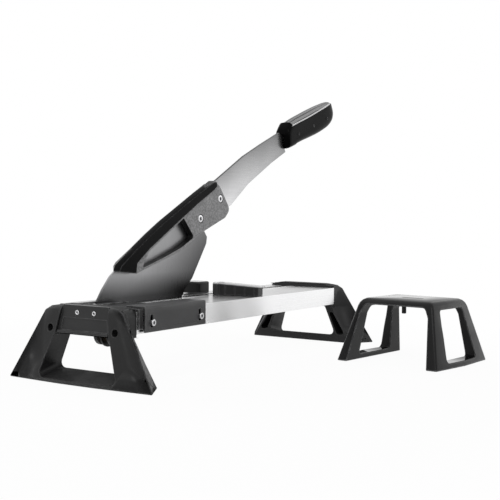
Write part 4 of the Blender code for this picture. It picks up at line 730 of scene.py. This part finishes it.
nut_table = (("cheek_nut_1", 0.0041), ("cheek_nut_2", 0.0041), ("pivot_nut", 0.0053))
screws = [socket_screw(node, *how) for family, *how in screw_table for node in family]
nuts = [hexagon_nut(node, rear, bore) for node, bore in nut_table]
print("screws:", len(screws), "nuts:", len(nuts))

# %% [markdown]
# ## The grip
#
# The grip is a curved moulding that swells under the palm and rounds off at its tip. A table of
# stations along the lever gives its floor, its side edge, its crest and its width, and a smooth
# curve runs through them. A subdivided box could be pulled to this form, but stations keep every
# size a number. All of it is drawn in the lever's own frame: along it, sideways and across it.

# %% Lever frame and smooth curves
pivot, side_way = np.array([0.072, 0.0, 0.054]), np.array([0.0, 1.0, 0.0])


def on_lever(along, side, across):
    """pivot + along the arm + sideways + across the arm, for whole arrays."""
    along, side, across = np.broadcast_arrays(along, side, across)
    return (pivot + along[..., None] * arm_way + side[..., None] * side_way
            + across[..., None] * across_way)


def flowing(points, count):
    """Catmull-Rom curve through rows of numbers: each sample mixes its four nearest rows."""
    points = np.asarray(points, float)
    padded = np.concatenate([2 * points[:1] - points[1:2], points, 2 * points[-1:] - points[-2:-1]])
    place = np.linspace(0, len(points) - 1, count)
    step = np.minimum(place.astype(int), len(points) - 2)
    share = (place - step)[:, None]
    a, b, c, d = (padded[step + k] for k in range(4))
    return 0.5 * (2 * b + (c - a) * share + (2 * a - 5 * b + 4 * c - d) * share ** 2
                  + (3 * b - a - 3 * c + d) * share ** 3)


grip_start, grip_length, grip_half = 0.552, 0.189, 0.016
print("the grip starts at", [round(float(v), 4) for v in on_lever(grip_start, grip_middle, 0.0)])

# %% [markdown]
# ### The shell
#
# At each station the section of the shell is a rounded U: an outer skin from lip to lip, then down
# into a seat for the insert and across it. Every row has the same number of points, so the whole
# shell is one closed surface.

# %% Grip shell
# place along the grip; floor, edge and crest in grip lengths; width in half widths
station_shares = np.array([
    (0.07, 0.066, 0.236, 0.262, 0.93), (0.13, 0.057, 0.256, 0.292, 0.96),
    (0.27, 0.032, 0.235, 0.277, 1.0), (0.42, -0.002, 0.208, 0.253, 1.0),
    (0.56, -0.032, 0.186, 0.230, 1.0), (0.70, -0.055, 0.165, 0.204, 0.98),
    (0.82, -0.066, 0.1465, 0.178, 0.93), (0.91, -0.055, 0.134, 0.157, 0.84),
    (0.97, -0.025, 0.123, 0.140, 0.66), (1.0, 0.020, 0.110, 0.121, 0.44),
])
half_section_shares = [(0.0, 0.0), (0.42, 0.02), (0.78, 0.12), (0.97, 0.34), (1.0, 0.7), (0.98, 0.94),
                       (0.90, 1.0)]
insert_share, seat_depth = 0.78, 0.003


def grip_body_points(rows=72, columns=48):
    """Rows of the U section: outside skin from lip to lip, then down into the seat and across it."""
    place, floor, edge, _, width = flowing(station_shares, rows).T[:, :, None]
    outside = np.array([(-a, b) for a, b in reversed(half_section_shares[1:])] + half_section_shares)
    skin = flowing(outside, columns)
    low, high = floor * grip_length, edge * grip_length
    half = width * grip_half
    side = skin[None, :, 0] * half
    tall = low + skin[None, :, 1] * (high - low)
    seat_side = np.array([insert_share, insert_share, -insert_share, -insert_share]) * half
    seat_tall = high - np.array([0.0, seat_depth, seat_depth, 0.0])
    along = grip_start + place * grip_length
    return on_lever(along, grip_middle + np.concatenate([side, seat_side], 1),
                    np.concatenate([tall, seat_tall], 1))


shell = own(grid_mesh("grip_shell", grip_body_points()), "grip_shell", grip_black, "black_plastic", "lever",
            ("grip_body",), 42.0)
print("grip shell:", len(shell.data.polygons), "faces")

# %% [markdown]
# ### The ribbed insert
#
# A softer grey strip is set into the top. Ribs in a bump map would leave its outline smooth, so
# they are real: the height is a crown over the width less the valleys between the ribs, which run
# lengthwise. Each rib is a raised cosine whose top is cut off flat.

# %% Grip insert
rib_count, rib_height, rib_flatness = 4, 0.0022, 1.6
insert_gap, lip_rise, crown_power = 0.0003, 0.12, 2.6
rib_start, rib_end, end_rate = 0.03, 0.95, 25
rib_side, side_rate = 0.93, 12
seat_step = 8


def insert_points(rows=96, columns=113):
    """Top: edge + rise * (lip + the rest * (1 - |s|^2.6)) less the valleys; bottom: the flat seat."""
    place, _, edge, crest, width = flowing(station_shares[1:-1], rows).T[:, :, None]
    share = np.linspace(-1, 1, columns)[None, :]
    high, top = edge * grip_length, crest * grip_length
    half = width * grip_half * insert_share - insert_gap
    crown = lip_rise + (1 - lip_rise) * (1 - np.abs(share) ** crown_power)
    wave = 0.5 - 0.5 * np.cos(share * math.pi * rib_count)
    valley = 1 - np.clip(wave * rib_flatness, 0, 1)
    along_fade = np.clip(np.minimum(place - rib_start, rib_end - place) * end_rate, 0, 1)
    side_fade = np.clip((rib_side - np.abs(share)) * side_rate, 0, 1)
    tall = high + (top - high) * crown - rib_height * valley * along_fade * side_fade
    along = grip_start + place * grip_length
    upper = on_lever(along, grip_middle + share * half, tall)
    lower = on_lever(along, grip_middle + share[:, ::-1] * half,
                     np.broadcast_to(high - seat_depth + insert_gap, tall.shape))
    return np.concatenate([upper, lower[:, ::seat_step]], axis=1)


insert = own(grid_mesh("grip_insert", insert_points()), "grip_insert", insert_grey, "grip_insert", "lever",
             ("grip_top",), 50.0)
print("grip insert:", len(insert.data.polygons), "faces")

# %% [markdown]
# ### The bright rims
#
# A pale bead frames the insert on both sides: a painted highlight, standing for the light line
# along the lip. It could be a bevelled curve, but a tube of points takes the same stations as the
# shell, so it follows the lip and can thin out at its ends.

# %% Rims of the insert
rim_offset, rim_half_width, rim_half_height = 0.06, 0.0020, 0.0012
rim_start, rim_end, rim_rate, rim_least = 0.09, 0.97, 20, 0.05


def rim_points(way, rows=72, columns=14):
    """A bead with an oval section, 4 mm wide and 2.4 mm high, along the lip of the body on one side."""
    place, _, edge, _, width = flowing(station_shares[:-1], rows).T[:, :, None]
    angle = np.linspace(0, math.tau, columns, endpoint=False)[None, :]
    middle = way * width * grip_half * (insert_share + rim_offset)
    taper = np.clip(np.minimum(place - rim_start, rim_end - place) * rim_rate, rim_least, 1)
    along = grip_start + place * grip_length
    return on_lever(along, grip_middle + middle + rim_half_width * taper * np.cos(angle),
                    edge * grip_length + rim_half_height * taper * np.sin(angle))


rims = [own(grid_mesh(name, rim_points(way)), name, rim_highlight, "grip_insert", "lever")
        for way, name in ((-1, "insert_rim_near"), (1, "insert_rim_far"))]
print("rims:", [rim.name for rim in rims])

# %% [markdown]
# ### The collar
#
# A sleeve closes the grip where the steel bar enters it. Its section is a squared oval, a circle
# whose cosine and sine are raised to a power below one, and its mouth leans back over its height.

# %% Grip collar
collar_mouth, collar_end, collar_slant = 0.5515, 0.578, 0.011
collar_width, mouth_pinch, squareness = 0.98, 0.06, 3.6
collar_floor, floor_drop, collar_crest, crest_rise = 0.0165, 0.0060, 0.0468, 0.0088
row_power, pinch_power, floor_power, crest_power = 1.4, 6, 0.8, 0.7


def collar_points(rows=12, columns=64):
    """A slanted sleeve round the root of the grip: a squared oval that narrows towards its mouth.

    Floor, crest and width are a value at the mouth or the end plus a change times a power of the
    place between them, and the mouth leans back by the slant over its height.
    """
    angle = np.linspace(0, math.tau, columns, endpoint=False)[None, :]
    place = np.linspace(0, 1, rows)[:, None] ** row_power
    half = grip_half * (collar_width - mouth_pinch * (1 - place) ** pinch_power)
    low = collar_floor - floor_drop * place ** floor_power
    high = collar_crest + crest_rise * place ** crest_power
    power = 2 / squareness
    side = np.sign(np.cos(angle)) * np.abs(np.cos(angle)) ** power
    rise = (1 + np.sign(np.sin(angle)) * np.abs(np.sin(angle)) ** power) / 2
    along = (collar_mouth + collar_slant * rise) * (1 - place) + collar_end * place
    return on_lever(along, grip_middle + side * half, low + rise * (high - low))


collar = own(grid_mesh("collar_sleeve", collar_points()), "collar_sleeve", grip_black, "black_plastic",
             "lever", ("grip_collar",), 42.0)
print("collar:", len(collar.data.polygons), "faces")

# %% [markdown]
# ## Studio
#
# The object stands on a pale floor before a white background. More light could turn both white, but
# it would bleach the object too. The world and the floor show white to the camera and in
# reflections by Light Path instead, while three large softboxes light the object itself.

# %% Floor
white, floor_white = (1.0, 1.0, 1.0, 1.0), (0.86, 0.86, 0.86, 1.0)
floor_half, floor_gap = 6.0, 0.0005
floor_glow, glow_start, glow_full = 0.95, 0.5, 1.0


def seen(owner):
    """1 for rays from the camera, from a glossy face or through glass, 0 for the light itself."""
    path = add(owner, "ShaderNodeLightPath")
    signal = path.outputs["Is Camera Ray"]
    for kind in ("Is Glossy Ray", "Is Transmission Ray"):
        signal = add(owner, "ShaderNodeMath", None, {0: signal, 1: path.outputs[kind]},
                     operation="MAXIMUM").outputs[0]
    return signal


def either_shader(owner, signal, first, second, output):
    """Shows the first shader where the signal is 0 and the second where it is 1."""
    mix = add(owner, "ShaderNodeMixShader", None, {0: signal, 1: first.outputs[0], 2: second.outputs[0]})
    owner.node_tree.links.new(mix.outputs[0], owner.node_tree.nodes[output].inputs["Surface"])


def studio_floor(size):
    """A pale sheet that shows mostly its own white, and is partly lit to keep a soft shadow.

    The white is floor_glow near the origin and full from glow_full metres out.
    """
    mesh = bpy.data.meshes.new("floor")
    mesh.from_pydata([(-size, -size, 0), (size, -size, 0), (size, size, 0), (-size, size, 0)], [],
                     [(0, 1, 2, 3)])
    material, shader = new_finish("floor_sheet", Base_Color=floor_white, Roughness=0.7,
                                  Specular_IOR_Level=0.1)
    glow = add(material, "ShaderNodeEmission", {"Color": white, "Strength": 1.0})
    place = add(material, "ShaderNodeTexCoord").outputs["Object"]
    reach = add(material, "ShaderNodeVectorMath", None, {0: place}, operation="LENGTH").outputs["Value"]
    fade = spread(material, reach, floor_glow, 1.0, glow_start, glow_full)
    share = add(material, "ShaderNodeMath", None, {0: seen(material), 1: fade}, operation="MULTIPLY")
    either_shader(material, share.outputs[0], shader, glow, "Material Output")
    mesh.materials.append(material)
    sheet = bpy.data.objects.new("floor", mesh)
    bpy.context.collection.objects.link(sheet)
    sheet.location.z = -floor_gap


studio_floor(floor_half)
print("floor:", 2 * floor_half, "m wide, full white from", glow_full, "m out")

# %% [markdown]
# ### The world
#
# The world is the far background. A backdrop sheet could stand behind the object, but it would end
# somewhere in another view, and the world never does. To the eye it is white, and as a light it is
# only a grey that lifts the shadows.

# %% World
world_light = 0.45


def studio_world(strength):
    """White where the camera or a reflection looks, a plain grey level for the light itself."""
    world = bpy.data.worlds.new("studio")
    world.use_nodes = True
    shown = world.node_tree.nodes["Background"]
    shown.inputs["Color"].default_value = white
    shown.inputs["Strength"].default_value = 1.0
    light = add(world, "ShaderNodeBackground", {"Color": white, "Strength": strength})
    either_shader(world, seen(world), light, shown, "World Output")
    bpy.context.scene.world = world


studio_world(world_light)
print("world:", world_light, "as a light, white to the eye")

# %% [markdown]
# ### Softboxes
#
# The key lamp hangs high in front of the pivot end, the side lamp stands in front beyond the far
# foot, and the back lamp stands behind the rails. One sun would be simpler, but its shadows are
# hard, and a single lamp would leave one side of the black feet without an edge.

# %% Softboxes
cutter_middle = (0.25, -0.05, 0.12)


def softbox(name, place, wide, tall, power):
    """A rectangular lamp at a place, turned to shine at the middle of the cutter."""
    lamp = bpy.data.lights.new(name, "AREA")
    lamp.shape = "RECTANGLE"
    lamp.size, lamp.size_y, lamp.energy = wide, tall, power
    holder = bpy.data.objects.new(name, lamp)
    bpy.context.collection.objects.link(holder)
    holder.location = place
    holder.rotation_euler = (Vector(cutter_middle) - Vector(place)).to_track_quat("-Z", "Y").to_euler()


lamp_table = (
    ("key", (-0.9, -0.5, 1.6), 1.1, 0.9, 12.0),
    ("side", (1.9, -1.6, 0.7), 1.6, 1.1, 5.0),
    ("back", (0.6, 1.7, 1.1), 1.6, 0.7, 10.0),
)
for row in lamp_table:
    softbox(*row)
bpy.context.scene.view_settings.view_transform = "Standard"
print("softboxes:", [f"{name} {power} W" for name, _, _, _, power in lamp_table])
